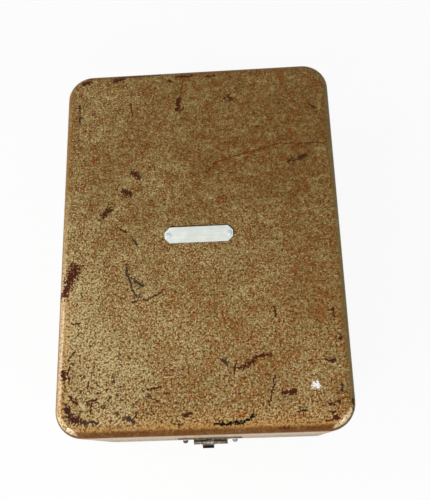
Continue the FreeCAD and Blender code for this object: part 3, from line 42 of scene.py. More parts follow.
# The floor, and how bright the sky and the backdrop are, as shares of white.
FLOOR_SIZE = 40
FLOOR_COLOUR = (243, 243, 242)
FLOOR_GLOW = 0.92
HORIZON_LEVEL = 0.1
ZENITH_LEVEL = 0.38
BACKDROP_LEVEL = 0.96

# Each lamp's place and size, in metres, and its power, in watts.
LAMP_AIM = (0.0, 0.0, 0.1)
LAMPS = {
    "key": ((-0.75, -0.8, 1.1), (0.42, 0.42), 9.8),
    "fill": ((0.8, -0.7, 0.9), (0.2, 0.2), 2.6),
    "front": ((0.1, -0.9, 1.4), (1.6, 1.0), 2.5),
    "left": ((-0.95, 0.05, 0.8), (0.25, 0.9), 4),
}

# The camera, fitted to the lid's outline: its place in metres, its turns in degrees, and its focal length
# as a share of the picture's height.
CAMERA_PLACE = (0.0371668, -0.1685671, 0.6432413)
CAMERA_TILT = 17.70138
CAMERA_YAW = 8.92476
CAMERA_ROLL = -11.03244
FOCAL_SHARE = 653.56 / 500


def tint(red, green, blue):
    """A colour as it looks, 0 to 255, for a shader."""
    shares = (value / 255 for value in (red, green, blue))
    return (*(s / 12.92 if s <= 0.04045 else ((s + 0.055) / 1.055) ** 2.4 for s in shares), 1)


class Finish:
    """A material whose nodes are wired up one call at a time."""

    def __init__(self, name):
        self.material = bpy.data.materials.new(name)
        self.material.use_nodes = True
        self.tree = self.material.node_tree
        self.tree.nodes.clear()
        output = self.add("ShaderNodeOutputMaterial")
        self.shader = self.add("ShaderNodeBsdfPrincipled")
        self.tree.links.new(self.shader.outputs[0], output.inputs["Surface"])
        self.place = self.add("ShaderNodeTexCoord").outputs["Object"]

    def add(self, kind, **settings):
        """A new node."""
        made = self.tree.nodes.new(kind)
        for name, value in settings.items():
            setattr(made, name, value)
        return made

    def feed(self, socket, value):
        """Links the value to a socket, or sets it there if it is a plain number or colour."""
        if isinstance(value, bpy.types.NodeSocket):
            self.tree.links.new(value, socket)
        else:
            socket.default_value = value

    def sum(self, operation, *values):
        """A sum that is worked out at every point of the surface."""
        made = self.add("ShaderNodeMath", operation=operation)
        for socket, value in zip(made.inputs, values):
            self.feed(socket, value)
        return made.outputs[0]

    def both(self, *shares):
        """Where all the shares hold."""
        held_by_all = shares[0]
        for share in shares[1:]:
            held_by_all = self.sum("MULTIPLY", held_by_all, share)
        return held_by_all

    def either(self, *shares):
        """Where any of the shares holds."""
        held_by_one = shares[0]
        for share in shares[1:]:
            held_by_one = self.sum("MAXIMUM", held_by_one, share)
        return held_by_one

    def without(self, share):
        """Where the share doesn't hold."""
        return self.sum("SUBTRACT", 1.0, share)

    def added(self, *parts, to=0.0):
        """Values added up, each by its weight."""
        for value, weight in parts:
            to = self.sum("MULTIPLY_ADD", value, weight, to)
        return to

    def vector(self, operation, *values):
        """A sum on places or directions."""
        made = self.add("ShaderNodeVectorMath", operation=operation)
        for socket, value in zip(made.inputs, values):
            self.feed(socket, value)
        scalar = operation in ("DOT_PRODUCT", "LENGTH", "DISTANCE")
        return made.outputs["Value" if scalar else "Vector"]

    def held(self, value):
        """The value, kept between 0 and 1."""
        made = self.add("ShaderNodeClamp")
        self.feed(made.inputs["Value"], value)
        return made.outputs[0]

    def scaled(self, run, share):
        """A share of a run."""
        made = self.add("ShaderNodeVectorMath", operation="SCALE")
        self.feed(made.inputs[0], run)
        self.feed(made.inputs["Scale"], share)
        return made.outputs["Vector"]

    def facing(self):
        """Which way the surface faces, as the piece lies at rest."""
        turned = self.add(
            "ShaderNodeVectorTransform", vector_type="NORMAL",
            convert_from="WORLD", convert_to="OBJECT",
        )
        self.feed(turned.inputs[0], self.add("ShaderNodeNewGeometry").outputs["Normal"])
        return turned.outputs[0]

    def stretched(self, along):
        """The place, with the pattern drawn out along an axis where its number is small."""
        return self.vector("MULTIPLY", self.place, along)

    def split(self, place=None):
        """The x, y and z of a place or a direction."""
        made = self.add("ShaderNodeSeparateXYZ")
        self.feed(made.inputs[0], place or self.place)
        return made.outputs

    def noise(self, scale, detail=3.0, rough=0.55, place=None, colour=False):
        """An uneven pattern with so many lumps to the metre."""
        made = self.add("ShaderNodeTexNoise")
        self.feed(made.inputs["Vector"], place or self.place)
        made.inputs["Scale"].default_value = scale
        made.inputs["Detail"].default_value = detail
        made.inputs["Roughness"].default_value = rough
        return made.outputs["Color" if colour else "Fac"]

    def from_cracks(self, scale, place=None):
        """How far a place is from the nearest crack, with so many cells to the metre."""
        made = self.add("ShaderNodeTexVoronoi", feature="DISTANCE_TO_EDGE")
        self.feed(made.inputs["Vector"], place or self.place)
        made.inputs["Scale"].default_value = scale
        return made.outputs["Distance"]

    def between(self, value, low, high, first=0.0, last=1.0):
        """A smooth step of the value, from first at low to last at high."""
        made = self.add("ShaderNodeMapRange", interpolation_type="SMOOTHSTEP")
        self.feed(made.inputs["Value"], value)
        for name, number in (
            ("From Min", low), ("From Max", high), ("To Min", first), ("To Max", last),
        ):
            self.feed(made.inputs[name], number)
        return made.outputs["Result"]

    def shades(self, value, *stops):
        """Colours along a value: each stop is a place and a colour as it looks."""
        made = self.add("ShaderNodeValToRGB")
        self.feed(made.inputs["Fac"], value)
        points = made.color_ramp.elements
        while len(points) < len(stops):
            points.new(0.5)
        for point, (place, colour) in zip(points, stops):
            point.position = place
            point.color = tint(*colour)
        return made.outputs["Color"]

    def over(self, share, under, upper):
        """The upper colour laid over the under one, by its share."""
        made = self.add("ShaderNodeMix", data_type="RGBA")
        self.feed(made.inputs["Factor"], share)
        for name, colour in (("A", under), ("B", upper)):
            socket = next(s for s in made.inputs if s.name == name and s.type == "RGBA")
            self.feed(socket, tint(*colour) if isinstance(colour, tuple) else colour)
        return next(s for s in made.outputs if s.type == "RGBA")

    def raised(self, height, depth_mm):
        """A bump of the given depth."""
        made = self.add("ShaderNodeBump")
        made.inputs["Strength"].default_value = 1.0
        made.inputs["Distance"].default_value = depth_mm * MM
        self.feed(made.inputs["Height"], height)
        return made.outputs["Normal"]

    def set(self, **sockets):
        """The finished material, with the shader's sockets set."""
        for name, value in sockets.items():
            socket = self.shader.inputs[name.replace("_", " ")]
            self.feed(socket, tint(*value) if isinstance(value, tuple) else value)
        return self.material


# Marks in the lid's paint. Each is a half width and a run of points on the lid, in millimetres.
LID_MARKS = {
    "maroon": [
        (2.3, (-100, 150), (-95, 151)),
        (2.0, (-73, 151), (-65, 152)),
        (1.1, (-18, 152), (-5, 152)),
        (2.3, (-15, 130), (-17, 119)),
        (0.7, (-14, 118), (-11, 122)),
        (0.6, (-58, 128), (-56, 116)),
        (2.7, (-55, 62), (-50, 57)),
        (0.9, (9, 150), (16, 151)),
        (1.2, (-25, 148), (-22, 148)),
        (0.7, (-67, 13), (-60, 8)),
        (0.8, (-54, -50), (-51, -50)),
        (0.8, (-45, -49), (-40, -48), (-36, -46)),
        (1.0, (-34, -45), (-30, -42)),
        (4.8, (-102, -21), (-105, -29)),
        (3.6, (-106, -30), (-110, -42)),
        (0.8, (-103, -66), (-96, -66)),
        (2.5, (-108, -104), (-107, -109)),
        (0.9, (-104, -94), (-100, -89)),
        (0.6, (-88, -111), (-88, -119)),
        (1.0, (-42, -119), (-33, -117)),
        (1.2, (-103, -122), (-96, -128)),
        (0.9, (-89, -127), (-81, -125)),
        (0.8, (-85, -128), (-85, -135)),
        (0.6, (26, -100), (24, -111)),
        (1.0, (28, -105), (32, -104)),
        (2.0, (32, -104), (39, -100)),
        (1.1, (40, -98), (46, -96), (53, -95)),
        (0.9, (57, -58), (58, -66)),
        (1.2, (102, -61), (103, -67)),
        (1.2, (95, -101), (102, -102)),
        (0.6, (55, -112), (53, -121), (49, -134)),
        (2.3, (61, -125), (69, -124)),
        (1.5, (97, -144), (100, -144)),
        (0.8, (91, -146), (97, -145)),
        (0.7, (57, -150), (63, -150)),
    ],
    "grey": [
        (1.0, (-103, 128), (-103, 123)),
        (1.2, (-102, 117), (-102, 111)),
        (1.2, (-102, 95)),
        (1.0, (-55, 3), (-51, -2)),
        (0.9, (-60, -19), (-60, -26)),
        (1.2, (-60, -26), (-56, -33)),
        (0.9, (-56, -33), (-55, -41)),
        (1.0, (-55, -41), (-51, -46)),
        (0.9, (-49, -44), (-49, -47)),
        (1.9, (-51, -34), (-47, -37)),
        (0.5, (-56, -30), (-51, -33)),
        (1.5, (-92, -141), (-80, -143)),
        (2.0, (-56, -140), (-53, -142)),
        (1.4, (16, -98), (19, -102)),
        (1.2, (105, -120), (104, -125)),
    ],
    "umber": [
        (0.7, (-70, 155), (-32, 155)),
        (1.4, (95, -134), (98, -134)),
        (1.1, (101, -133), (102, -133)),
        (2.5, (-62, 45), (-58, 42)),
        (2.8, (-79, 25), (-75, 29)),
        (1.2, (25, 128), (28, 130), (30, 126)),
        (0.8, (97, 117), (102, 114)),
        (1.7, (76, 65), (80, 66)),
        (2.2, (85, 68), (90, 70)),
        (0.9, (-103, -100), (-104, -105), (-103, -111)),
        (0.9, (-51, -135), (-51, -139)),
        (2.0, (-14, -139), (-10, -138)),
        (0.7, (-22, -145), (-16, -146)),
        (1.9, (106, -85)),
        (1.2, (72, -139), (77, -138)),
        (1.5, (97, -140)),
        (0.8, (112, -131), (112, -138)),
    ],
    "sienna": [
        (0.7, (7, 57), (10, 62), (16, 68), (27, 71), (50, 77), (70, 82)),
        (0.6, (70, 82), (92, 81), (106, 81)),
        (0.8, (-12, 148), (-14, 132)),
    ],
    "orange": [
        (1.0, (-90, 78), (-89, 72)),
        (0.9, (-98, 48), (-96, 53)),
        (1.7, (80, 94), (80, 91)),
        (1.3, (-28, 53)),
        (0.9, (81, 123)),
        (0.9, (16, -60), (18, -68)),
        (0.8, (27, -140), (32, -139)),
    ],
    "plum": [
        (2.8, (-104, -131), (-102, -137)),
        (3.6, (-100, -139), (-96, -140)),
        (1.2, (99, -100), (99, -103)),
    ],
    "cream": [
        (1.0, (-94, -128), (-91, -131)),
    ],
    "black": [
        (1.3, (8, -146), (18, -146), (29, -145), (35, -143), (37, -141)),
    ],
    "white": [
        (1.6, (85, -119), (87, -120)),
        (0.8, (87, -117)),
        (0.8, (83, -122)),
        (0.6, (89, -121)),
        (0.5, (82, -120)),
    ],
}
MARK_TINTS = {
    "sienna": (98, 48, 18),
    "orange": (126, 64, 22),
    "cream": (190, 178, 140),
    "grey": (66, 50, 40),
    "maroon": (74, 32, 16),
    "plum": (66, 30, 24),
    "umber": (66, 36, 16),
    "black": (14, 8, 4),
    "white": (250, 248, 244),
}


class CaseEnamel(Finish):
    """Khaki stove enamel, rusting through in flecks, and marked where it has been knocked about."""

    def __init__(self):
        super().__init__("speckled_khaki_enamel")

        # Where a point of the surface is, and which way it faces.
        self.x, self.y, self.z = self.split()
        self.normal = self.facing()
        self.sideways, self.forward, self.upward = self.split(self.normal)

        # The patterns in the paint, some of them moved so that they don't fall in step.
        elsewhere = self.vector("ADD", self.place, (3.1, 1.7, 0.3))
        self.mottle = self.noise(125, 4, 0.66)
        self.fleck = self.noise(720, 3, 0.66)
        self.pale_fleck = self.noise(740, 3, 0.62, place=elsewhere)
        self.dark_fleck = self.noise(520, 3, 0.66, place=elsewhere)

        # How light the paint is, and how thick the rust, from those patterns.
        patchy = self.sum("SUBTRACT", self.mottle, 0.5)
        cloudy = self.sum("SUBTRACT", self.noise(17, 4, 0.6), 0.5)
        self.toward_front = self.between(self.y, 160 * MM, -160 * MM, -1.0, 1.0)
        toward_left = self.between(self.x, 120 * MM, -120 * MM, -1.0, 1.0)
        self.lighter = self.added((self.toward_front, 0.065), (toward_left, 0.044), (cloudy, 0.3))
        self.tone = self.added((self.lighter, 1.0), (patchy, -0.25), to=self.noise(300, 3, 0.6))
        self.grains = self.added((patchy, 0.55), (self.lighter, -0.06), to=self.fleck)

    def near_edge(self, left, front):
        """How near a place is to the lid's front edge, or to the front of its left one.

        For each edge, the two distances from it, in millimetres, are where that begins and where it is full.
        """
        by_left = self.between(self.x, *(LEFT + far * MM for far in left))
        by_left = self.both(by_left, self.between(self.y, 0.0, -80 * MM))
        by_front = self.between(self.y, *(FRONT + far * MM for far in front))
        up_here = self.between(self.z, TOP - 16.4 * MM, TOP - 3.4 * MM)
        return self.both(self.either(by_left, by_front), up_here)

    def ground(self):
        """The khaki itself, lighter toward the front and the left."""
        return self.shades(
            self.tone,
            (0.3, (112, 88, 46)),
            (0.45, (138, 115, 67)),
            (0.58, (157, 134, 83)),
            (0.75, (184, 164, 113)),
        )

    def gilded(self, paint, edge):
        """Wear has warmed it to gold along the front edge and the front of the left one."""
        share = self.both(edge, self.between(self.mottle, 0.38, 0.58, 0.4, 0.9))
        return self.over(share, paint, (212, 158, 82))

    def flecked(self, paint, edge):
        """Rust comes through as fine grains, thick in some places, among pale and dark flecks and chips."""
        rust = self.shades(self.noise(900, 2, 0.6), (0.35, (72, 36, 9)), (0.62, (142, 82, 29)))
        rust = self.over(self.between(self.toward_front, -0.4, 1.0, 0.0, 0.4), rust, (176, 104, 38))
        paint = self.over(self.between(self.grains, 0.48, 0.57, 0.0, 0.95), paint, rust)

        faded = self.added((self.lighter, 0.85), (edge, 0.04), to=self.pale_fleck)
        paint = self.over(self.between(faded, 0.568, 0.65, 0.0, 0.92), paint, (208, 190, 140))

        darkened = self.added((self.toward_front, 0.02), (edge, 0.02), to=self.dark_fleck)
        paint = self.over(self.between(darkened, 0.535, 0.605, 0.0, 0.92), paint, (84, 45, 14))

        by_left = self.between(self.x, 30 * MM, -60 * MM)
        near_corner = self.both(by_left, self.between(self.y, -60 * MM, -120 * MM))
        chipped = self.added((near_corner, 0.1), to=self.noise(260, 2, 0.5))
        return self.over(self.between(chipped, 0.7, 0.74, 0.0, 0.9), paint, (74, 44, 26))

    def glazed(self, paint, brink):
        """Right at those edges the flecks are all but lost under the gold."""
        share = self.both(brink, self.between(self.dark_fleck, 0.6, 0.46, 0.15, 0.7))
        gold = self.shades(self.fleck, (0.36, (136, 84, 30)), (0.62, (218, 166, 92)))
        return self.over(share, paint, gold)

    def browned(self, paint):
        """The rounded edges and the rims at the seam have gone golden brown, less so on the right."""
        rounded = self.both(self.between(self.upward, 0.99, 0.85), self.between(self.upward, 0.0, 0.35))
        from_seam = self.sum("ABSOLUTE", self.sum("SUBTRACT", self.z, SEAM))
        rim = self.either(rounded, self.between(from_seam, 6 * MM, 0.0))
        share = self.both(rim, self.between(self.grains, 0.36, 0.56, 0.15, 0.8))
        brown = self.shades(self.dark_fleck, (0.35, (112, 70, 24)), (0.65, (172, 124, 56)))
        olive = self.shades(self.dark_fleck, (0.35, (108, 90, 46)), (0.6, (150, 130, 78)))
        brown = self.over(self.between(self.sideways, 0.15, 0.6), brown, olive)
        return self.over(share, paint, brown)

    def front_shade_and_floor_reflection(self, paint):
        """Painted shade darkens the front under its rounded edge, and a pale painted reflection of the white
        floor lies on the front wall below that.
        """
        # Painted shade: a dark band on the front-facing part of the rounded edge, where less light falls.
        edge = self.both(self.between(self.forward, -0.1, -0.5), self.between(self.upward, 0.1, 0.4))
        edge = self.both(edge, self.between(self.grains, 0.38, 0.56, 0.5, 0.85))
        paint = self.over(edge, paint, (88, 45, 12))
        # Painted reflection: pale cream on the front wall, standing in for the white floor seen in it at a
        # grazing angle.
        wall_reflection = self.both(self.between(self.forward, -0.2, -0.95), self.between(self.upward, 0.4, 0.1))
        wall_reflection = self.both(wall_reflection, self.between(self.z, 50 * MM, 125 * MM, 0.0, 0.36))
        return self.over(wall_reflection, paint, (240, 208, 160))

    def shadowed_round_plate(self, paint):
        """A dark band painted round the riveted plate, heaviest behind it and to its right: a painted shadow
        of the plate's raised edge.
        """
        low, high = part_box("name_plate")
        centre, half = (low + high) / 2, (high - low) / 2
        # The band is moved back and to the right, where the plate's shadow falls.
        from_centre = self.vector("SUBTRACT", self.place, (centre.x + 0.2 * MM, centre.y + 0.45 * MM, 0))
        x, y, z = self.split(self.vector("ABSOLUTE", from_centre))
        past_end = self.sum("SUBTRACT", x, half.x)
        past_side = self.sum("SUBTRACT", y, half.y)
        past_corner = self.sum("ADD", x, self.sum("SUBTRACT", y, half.x + half.y - PLATE_CORNER * MM))
        past_corner = self.sum("MULTIPLY", past_corner, math.sqrt(0.5))
        uneven = self.added((self.noise(260, 3), -1.2 * MM), to=self.either(past_corner, past_end, past_side))
        on_lid = self.between(z, TOP - 2.4 * MM, TOP - 1.4 * MM)
        share = self.both(on_lid, self.between(uneven, 0.5 * MM, -0.3 * MM, 0.0, 0.9))
        return self.over(share, paint, (30, 20, 12))

    def polish(self):
        """Where highlights are painted on the shoulders of the front corners and the left edge; the coat is
        glossier there too.
        """
        shoulder = self.both(self.between(self.upward, 0.55, 0.8), self.between(self.upward, 0.998, 0.982))
        to_one_side = self.between(self.sum("ABSOLUTE", self.sideways), 0.06, 0.2)
        at_corner = self.both(to_one_side, self.between(self.forward, -0.06, -0.2))
        along_left = self.between(self.y, 60 * MM, -60 * MM, 0.0, 0.6)
        at_left = self.both(self.between(self.sideways, -0.1, -0.3), along_left)
        return self.both(shoulder, self.either(at_corner, at_left))

    def rubbed(self, paint, highlight_and_gloss):
        """Pale cream painted highlights on those shoulders."""
        share = self.both(highlight_and_gloss, self.between(self.dark_fleck, 0.6, 0.48, 0.2, 0.95))
        # Painted highlight: pale cream where the lamps glint on the corners and the left edge.
        return self.over(share, paint, (242, 214, 162))

    def distance_to_marks(self, place, marks):
        """How far the place is from the nearest mark, in the mark's own half widths."""
        nearest = None
        for half_width, *points in marks:
            spots = [Vector((x * MM, y * MM, 0)) for x, y in points]
            for start, end in zip(spots, spots[1:] or spots):
                away = self.vector("SUBTRACT", place, start)
                run = end - start
                if run.length:
                    along = self.vector("DOT_PRODUCT", away, run / run.length_squared)
                    far = self.vector("DISTANCE", away, self.scaled(run, self.held(along)))
                else:
                    far = self.vector("LENGTH", away)
                far = self.sum("DIVIDE", far, half_width * MM)
                nearest = self.sum("MINIMUM", nearest, far) if nearest else far
        return nearest

    def marked(self, paint):
        """The paint with its ragged marks, on the outside of the lid only, and how far they cover it."""
        bent = self.vector("SUBTRACT", self.noise(190, 3, 0.65, colour=True), (0.5, 0.5, 0.5))
        flat = self.vector("MULTIPLY_ADD", bent, (4 * MM,) * 3, self.place)
        flat = self.vector("MULTIPLY", flat, (1, 1, 0))
        coarse = self.sum("MULTIPLY_ADD", self.dark_fleck, -5.0, 2.5)
        ragged = self.added((self.sum("SUBTRACT", self.fleck, 0.5), -3.0), to=coarse)
        on_lid = self.between(self.z, TOP - 12.4 * MM, TOP - 9.4 * MM)
        worn = None
        for name, colour in MARK_TINTS.items():
            far = self.distance_to_marks(flat, LID_MARKS[name])
            share = self.between(self.sum("ADD", far, ragged), 1.35, 0.65)
            share = self.both(share, on_lid)
            paint = self.over(share, paint, colour)
            worn = self.either(worn, share) if worn else share
        return paint, worn

    def kept_inside(self, paint):
        """Inside the case the same enamel has kept its colour."""
        from_middle = self.vector("SUBTRACT", self.place, CASE_MIDDLE)
        outward = self.vector("DOT_PRODUCT", self.normal, from_middle)
        inside = self.between(outward, 0.5 * MM, -0.5 * MM)
        kept = self.shades(self.tone, (0.25, (112, 92, 58)), (0.5, (132, 112, 74)), (0.75, (146, 126, 86)))
        kept = self.over(self.between(self.dark_fleck, 0.62, 0.68, 0.0, 0.6), kept, (84, 62, 36))
        return self.over(inside, paint, kept)


def case_paint():
    """The case's enamel, from its ground colour to its newest wear, with painted shade, a painted shadow,
    painted highlights and a painted reflection laid in among the layers.
    """
    f = CaseEnamel()
    edge = f.near_edge(left=(16.5, 3.5), front=(23.75, 4.75))
    brink = f.near_edge(left=(10.5, 5.0), front=(11.25, 6.25))
    paint = f.gilded(f.ground(), edge)
    paint = f.flecked(paint, edge)
    paint = f.glazed(paint, brink)
    paint = f.browned(paint)
    # Painted shade under the front's rounded edge, and a painted reflection on the front wall.
    paint = f.front_shade_and_floor_reflection(paint)
    # A painted shadow round the name plate.
    paint = f.shadowed_round_plate(paint)
    # Where the painted highlights lie; the coat is glossier there as well.
    highlight_and_gloss = f.polish()
    paint = f.rubbed(paint, highlight_and_gloss)
    paint, worn = f.marked(paint)
    paint = f.kept_inside(paint)

    gloss = f.both(f.sum("MULTIPLY_ADD", highlight_and_gloss, 0.75, 0.08), f.without(worn))
    orange_peel = f.raised(f.fleck, 0.05)
    return f.set(
        Base_Color=paint,
        Roughness=f.added((worn, 0.25), to=f.between(f.fleck, 0.3, 0.7, 0.28, 0.42)),
        Normal=orange_peel,
        Specular_IOR_Level=0.05,
        Coat_Weight=gloss,
        Coat_Roughness=0.16,
        Coat_Normal=orange_peel,
    )


def worn_steel():
    """Plain steel, dulled by handling, with rust where the hand doesn't reach."""
    f = Finish("dull_steel")
    grain = f.noise(900, 2, place=f.stretched((0.15, 1, 1)))
    metal = f.shades(
        f.noise(240, 4, 0.6),
        (0.3, (126, 122, 112)),
        (0.55, (164, 161, 152)),
        (0.75, (196, 194, 188)),
    )
    patch = f.added((f.noise(420, 3), 0.45), (f.noise(95, 3), 0.6))
    rusted = f.between(patch, 0.56, 0.63)
    rust = f.shades(f.noise(800, 3), (0.3, (62, 36, 22)), (0.7, (124, 74, 38)))
    return f.set(
        Base_Color=f.over(rusted, metal, rust),
        Metallic=f.sum("MULTIPLY", f.without(rusted), 0.92),
        Roughness=f.added((rusted, 0.35), to=f.between(grain, 0.3, 0.7, 0.3, 0.44)),
        Normal=f.raised(f.added((rusted, 0.6), to=grain), 0.03),
    )


def latch_nickel(name, polish, tip=None):
    """Nickel plate gone dull and brown in its hollows; a thumb tab has painted shade at its tip, where its
    end turns down.
    """
    f = Finish(name)
    worn = f.sum("ADD", f.noise(330, 4, 0.65), polish)
    metal = f.shades(
        worn,
        (0.32, (58, 38, 20)),
        (0.45, (92, 76, 54)),
        (0.6, (138, 132, 116)),
        (0.75, (180, 178, 170)),
    )
    bright = f.between(worn, 0.36, 0.5)
    roughness = f.between(worn, 0.3, 0.7, 0.5, 0.26)
    if tip is not None:
        _, y, _ = f.split()
        ragged = f.added((f.noise(700, 2), 0.6 * MM), to=y)
        # Painted shade: the tab's down-turned end face, away from the light, is coloured near black and dark
        # maroon.
        black = f.between(ragged, tip + 3 * MM, tip + 2.2 * MM)
        tip_shade = f.shades(worn, (0.4 + polish, (16, 9, 11)), (0.7 + polish, (72, 26, 34)))
        metal = f.over(black, metal, tip_shade)
        bright = f.both(bright, f.without(black))
    return f.set(
        Base_Color=metal,
        Metallic=f.sum("MULTIPLY", bright, 0.85),
        Roughness=roughness,
        Specular_IOR_Level=0.15,
        Normal=f.raised(worn, 0.03),
    )


def latch_rivet_steel():
    """Rivets coloured near white over the top as a painted reflection of the white surroundings, browned at
    the crown on the left and only dulled on the right.
    """
    f = Finish("browned_rivets")
    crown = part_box("latch_rivets")[0].y
    scuff = f.noise(600, 3)
    x, y, _ = f.split()
    ragged = f.added((scuff, 1.2 * MM), to=y)
    browned = f.between(ragged, crown + 3.4 * MM, crown + 2.4 * MM)
    stain = f.over(f.between(x, -2 * MM, 2 * MM), (98, 52, 20), (142, 144, 140))
    # The near-white colour is a painted reflection of the white surroundings on the tops of the heads.
    steel = f.shades(scuff, (0.3, (206, 206, 202)), (0.7, (240, 240, 236)))
    return f.set(
        Base_Color=f.over(browned, steel, stain),
        Metallic=0.3,
        Roughness=f.between(browned, 0.0, 1.0, 0.25, 0.5),
        Normal=f.raised(scuff, 0.02),
    )


def plate_metal():
    """Rolled aluminium, brushed along its length, with a few hair scratches."""
    f = Finish("bare_rolled_aluminium")
    brushed = f.noise(1500, 3, 0.6, place=f.stretched((0.02, 1, 1)))
    scratch = f.noise(260, 2, place=f.stretched((1, 0.12, 1)))
    hair = f.between(scratch, 0.66, 0.7)
    cloud = f.noise(140, 3)
    metal = f.shades(
        f.added((brushed, 0.4), (cloud, 0.6)),
        (0.3, (206, 213, 204)),
        (0.5, (224, 230, 222)),
        (0.7, (240, 244, 238)),
    )
    return f.set(
        Base_Color=f.over(f.sum("MULTIPLY", hair, 0.5), metal, (132, 132, 126)),
        Metallic=0.3,
        Roughness=f.between(brushed, 0.3, 0.7, 0.3, 0.46),
        Normal=f.raised(f.sum("SUBTRACT", brushed, hair), 0.02),
    )


def bright_rivets():
    """Round aluminium heads, polished by dusting."""
    f = Finish("bright_aluminium_rivets")
    scuff = f.noise(800, 3)
    return f.set(
        Base_Color=f.shades(scuff, (0.3, (186, 192, 202)), (0.7, (232, 236, 244))),
        Metallic=0.35,
        Roughness=f.between(scuff, 0.3, 0.7, 0.16, 0.3),
        Normal=f.raised(scuff, 0.01),
    )


def foot_rubber():
    """Matt black rubber with dust in it."""
    f = Finish("matt_black_rubber")
    grain = f.noise(1400, 3)
    dusty = f.noise(180, 4)
    return f.set(
        Base_Color=f.shades(dusty, (0.35, (22, 22, 22)), (0.7, (48, 46, 43))),
        Roughness=f.between(grain, 0.3, 0.7, 0.62, 0.85),
        Normal=f.raised(grain, 0.06),
    )


def braided_wire():
    """Cotton braid over rubber, in two browns."""
    f = Finish("cotton_braid")
    strand = f.add("ShaderNodeTexWave", wave_type="BANDS", bands_direction="DIAGONAL")
    strand.inputs["Scale"].default_value = 420
    strand.inputs["Distortion"].default_value = 1.5
    f.feed(strand.inputs["Vector"], f.place)
    across = f.noise(700, 2)
    twill = f.added((across, 0.4), (strand.outputs["Fac"], 0.6))
    return f.set(
        Base_Color=f.shades(twill, (0.3, (38, 28, 20)), (0.6, (86, 64, 42)), (0.8, (112, 88, 60))),
        Roughness=0.85,
        Normal=f.raised(twill, 0.2),
    )


def mahogany(name, along):
    """Dark mahogany with its grain along one axis, under thin varnish."""
    f = Finish(name)
    grain = f.noise(260, 4, 0.6, place=f.stretched(along))
    pores = f.noise(1300, 2, 0.5, place=f.stretched(along))
    figure = f.noise(34, 3, 0.5, place=f.stretched(tuple(math.sqrt(a) for a in along)))
    tone = f.added((figure, 0.5), (grain, 0.5))
    wood = f.shades(tone, (0.32, (58, 26, 15)), (0.5, (92, 46, 26)), (0.68, (128, 72, 42)))
    open_pore = f.between(pores, 0.62, 0.7)
    return f.set(
        Base_Color=f.over(f.sum("MULTIPLY", open_pore, 0.7), wood, (36, 17, 11)),
        Roughness=f.between(grain, 0.3, 0.7, 0.3, 0.46),
        Normal=f.raised(f.added((open_pore, -0.7), to=grain), 0.06),
        Coat_Weight=0.25,
        Coat_Roughness=0.2,
    )


def crackle_enamel():
    """Black crackle enamel, dusty in its wrinkles and rubbed through here and there."""
    f = Finish("black_crackle_enamel")
    bent = f.vector("MULTIPLY_ADD", f.noise(500, 2, colour=True), (1.2 * MM,) * 3, f.place)
    wrinkle = f.between(f.from_cracks(620, bent), 0.0, 0.28)
    cloud = f.noise(42, 4)
    rubbed = f.between(f.added((f.noise(320, 3), 0.5), (cloud, 0.5)), 0.62, 0.68)
    dust = f.between(wrinkle, 0.5, 0.0, 0.0, 0.5)
    black = f.shades(cloud, (0.3, (20, 20, 20)), (0.7, (36, 35, 33)))
    black = f.over(dust, black, (64, 60, 54))
    return f.set(
        Base_Color=f.over(f.sum("MULTIPLY", rubbed, 0.55), black, (88, 74, 58)),
        Roughness=f.between(wrinkle, 0.0, 1.0, 0.6, 0.34),
        Normal=f.raised(wrinkle, 0.12),
    )


def turned_brass():
    """Lacquered brass with fine turning lines, browned where the lacquer has gone."""
    f = Finish("lacquered_brass")
    lines = f.noise(2600, 2, 0.5, place=f.stretched((0.01, 1, 0.01)))
    wear = f.added((f.noise(260, 4, 0.65), 0.6), (f.noise(48, 3), 0.4))
    gone = f.between(wear, 0.5, 0.66)
    metal = f.shades(f.noise(90, 3), (0.3, (172, 134, 70)), (0.7, (206, 172, 108)))
    return f.set(
        Base_Color=f.over(f.sum("MULTIPLY", gone, 0.75), metal, (108, 82, 46)),
        Metallic=1.0,
        Roughness=f.added((gone, 0.22), to=f.between(lines, 0.3, 0.7, 0.18, 0.3)),
        Normal=f.raised(lines, 0.012),
    )


def optical_glass():
    """Polished glass, smeared in places."""
    f = Finish("clear_polished_glass")
    smear = f.between(f.noise(70, 4, 0.6), 0.5, 0.75, 0.015, 0.09)
    return f.set(
        Base_Color=(242, 249, 247), Roughness=smear, Transmission_Weight=1.0, IOR=1.52,
        Normal=f.raised(f.noise(30, 2), 0.01),
    )


def bound_slide():
    """A glass slide bound round its edge with black paper tape."""
    f = Finish("taped_glass_slide")
    low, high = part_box("glass_slide_left")
    other_low, other_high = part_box("glass_slide_right")
    pitch = other_low.x - low.x
    x, _, z = f.split()
    centre_z = (low.z + high.z) / 2
    half = (high.z - low.z) / 2
    over = f.sum("ABSOLUTE", f.sum("SUBTRACT", x, (low.x + other_high.x) / 2))
    over = f.sum("ABSOLUTE", f.sum("SUBTRACT", over, pitch / 2))
    up = f.sum("ABSOLUTE", f.sum("SUBTRACT", z, centre_z))
    from_edge = f.sum("SUBTRACT", half, f.sum("MAXIMUM", over, up))
    torn = f.added((f.noise(900, 3), 1.2 * MM), to=from_edge)
    tape = f.between(torn, 5.6 * MM, 5.2 * MM)
    fibre = f.noise(1600, 3)
    paper = f.shades(fibre, (0.3, (20, 19, 18)), (0.7, (44, 41, 38)))
    return f.set(
        Base_Color=f.over(tape, (226, 206, 170), paper),
        Roughness=f.between(tape, 0.0, 1.0, 0.06, 0.7),
        Transmission_Weight=f.without(tape),
        IOR=1.52,
        Normal=f.raised(f.both(tape, fibre), 0.08),
    )


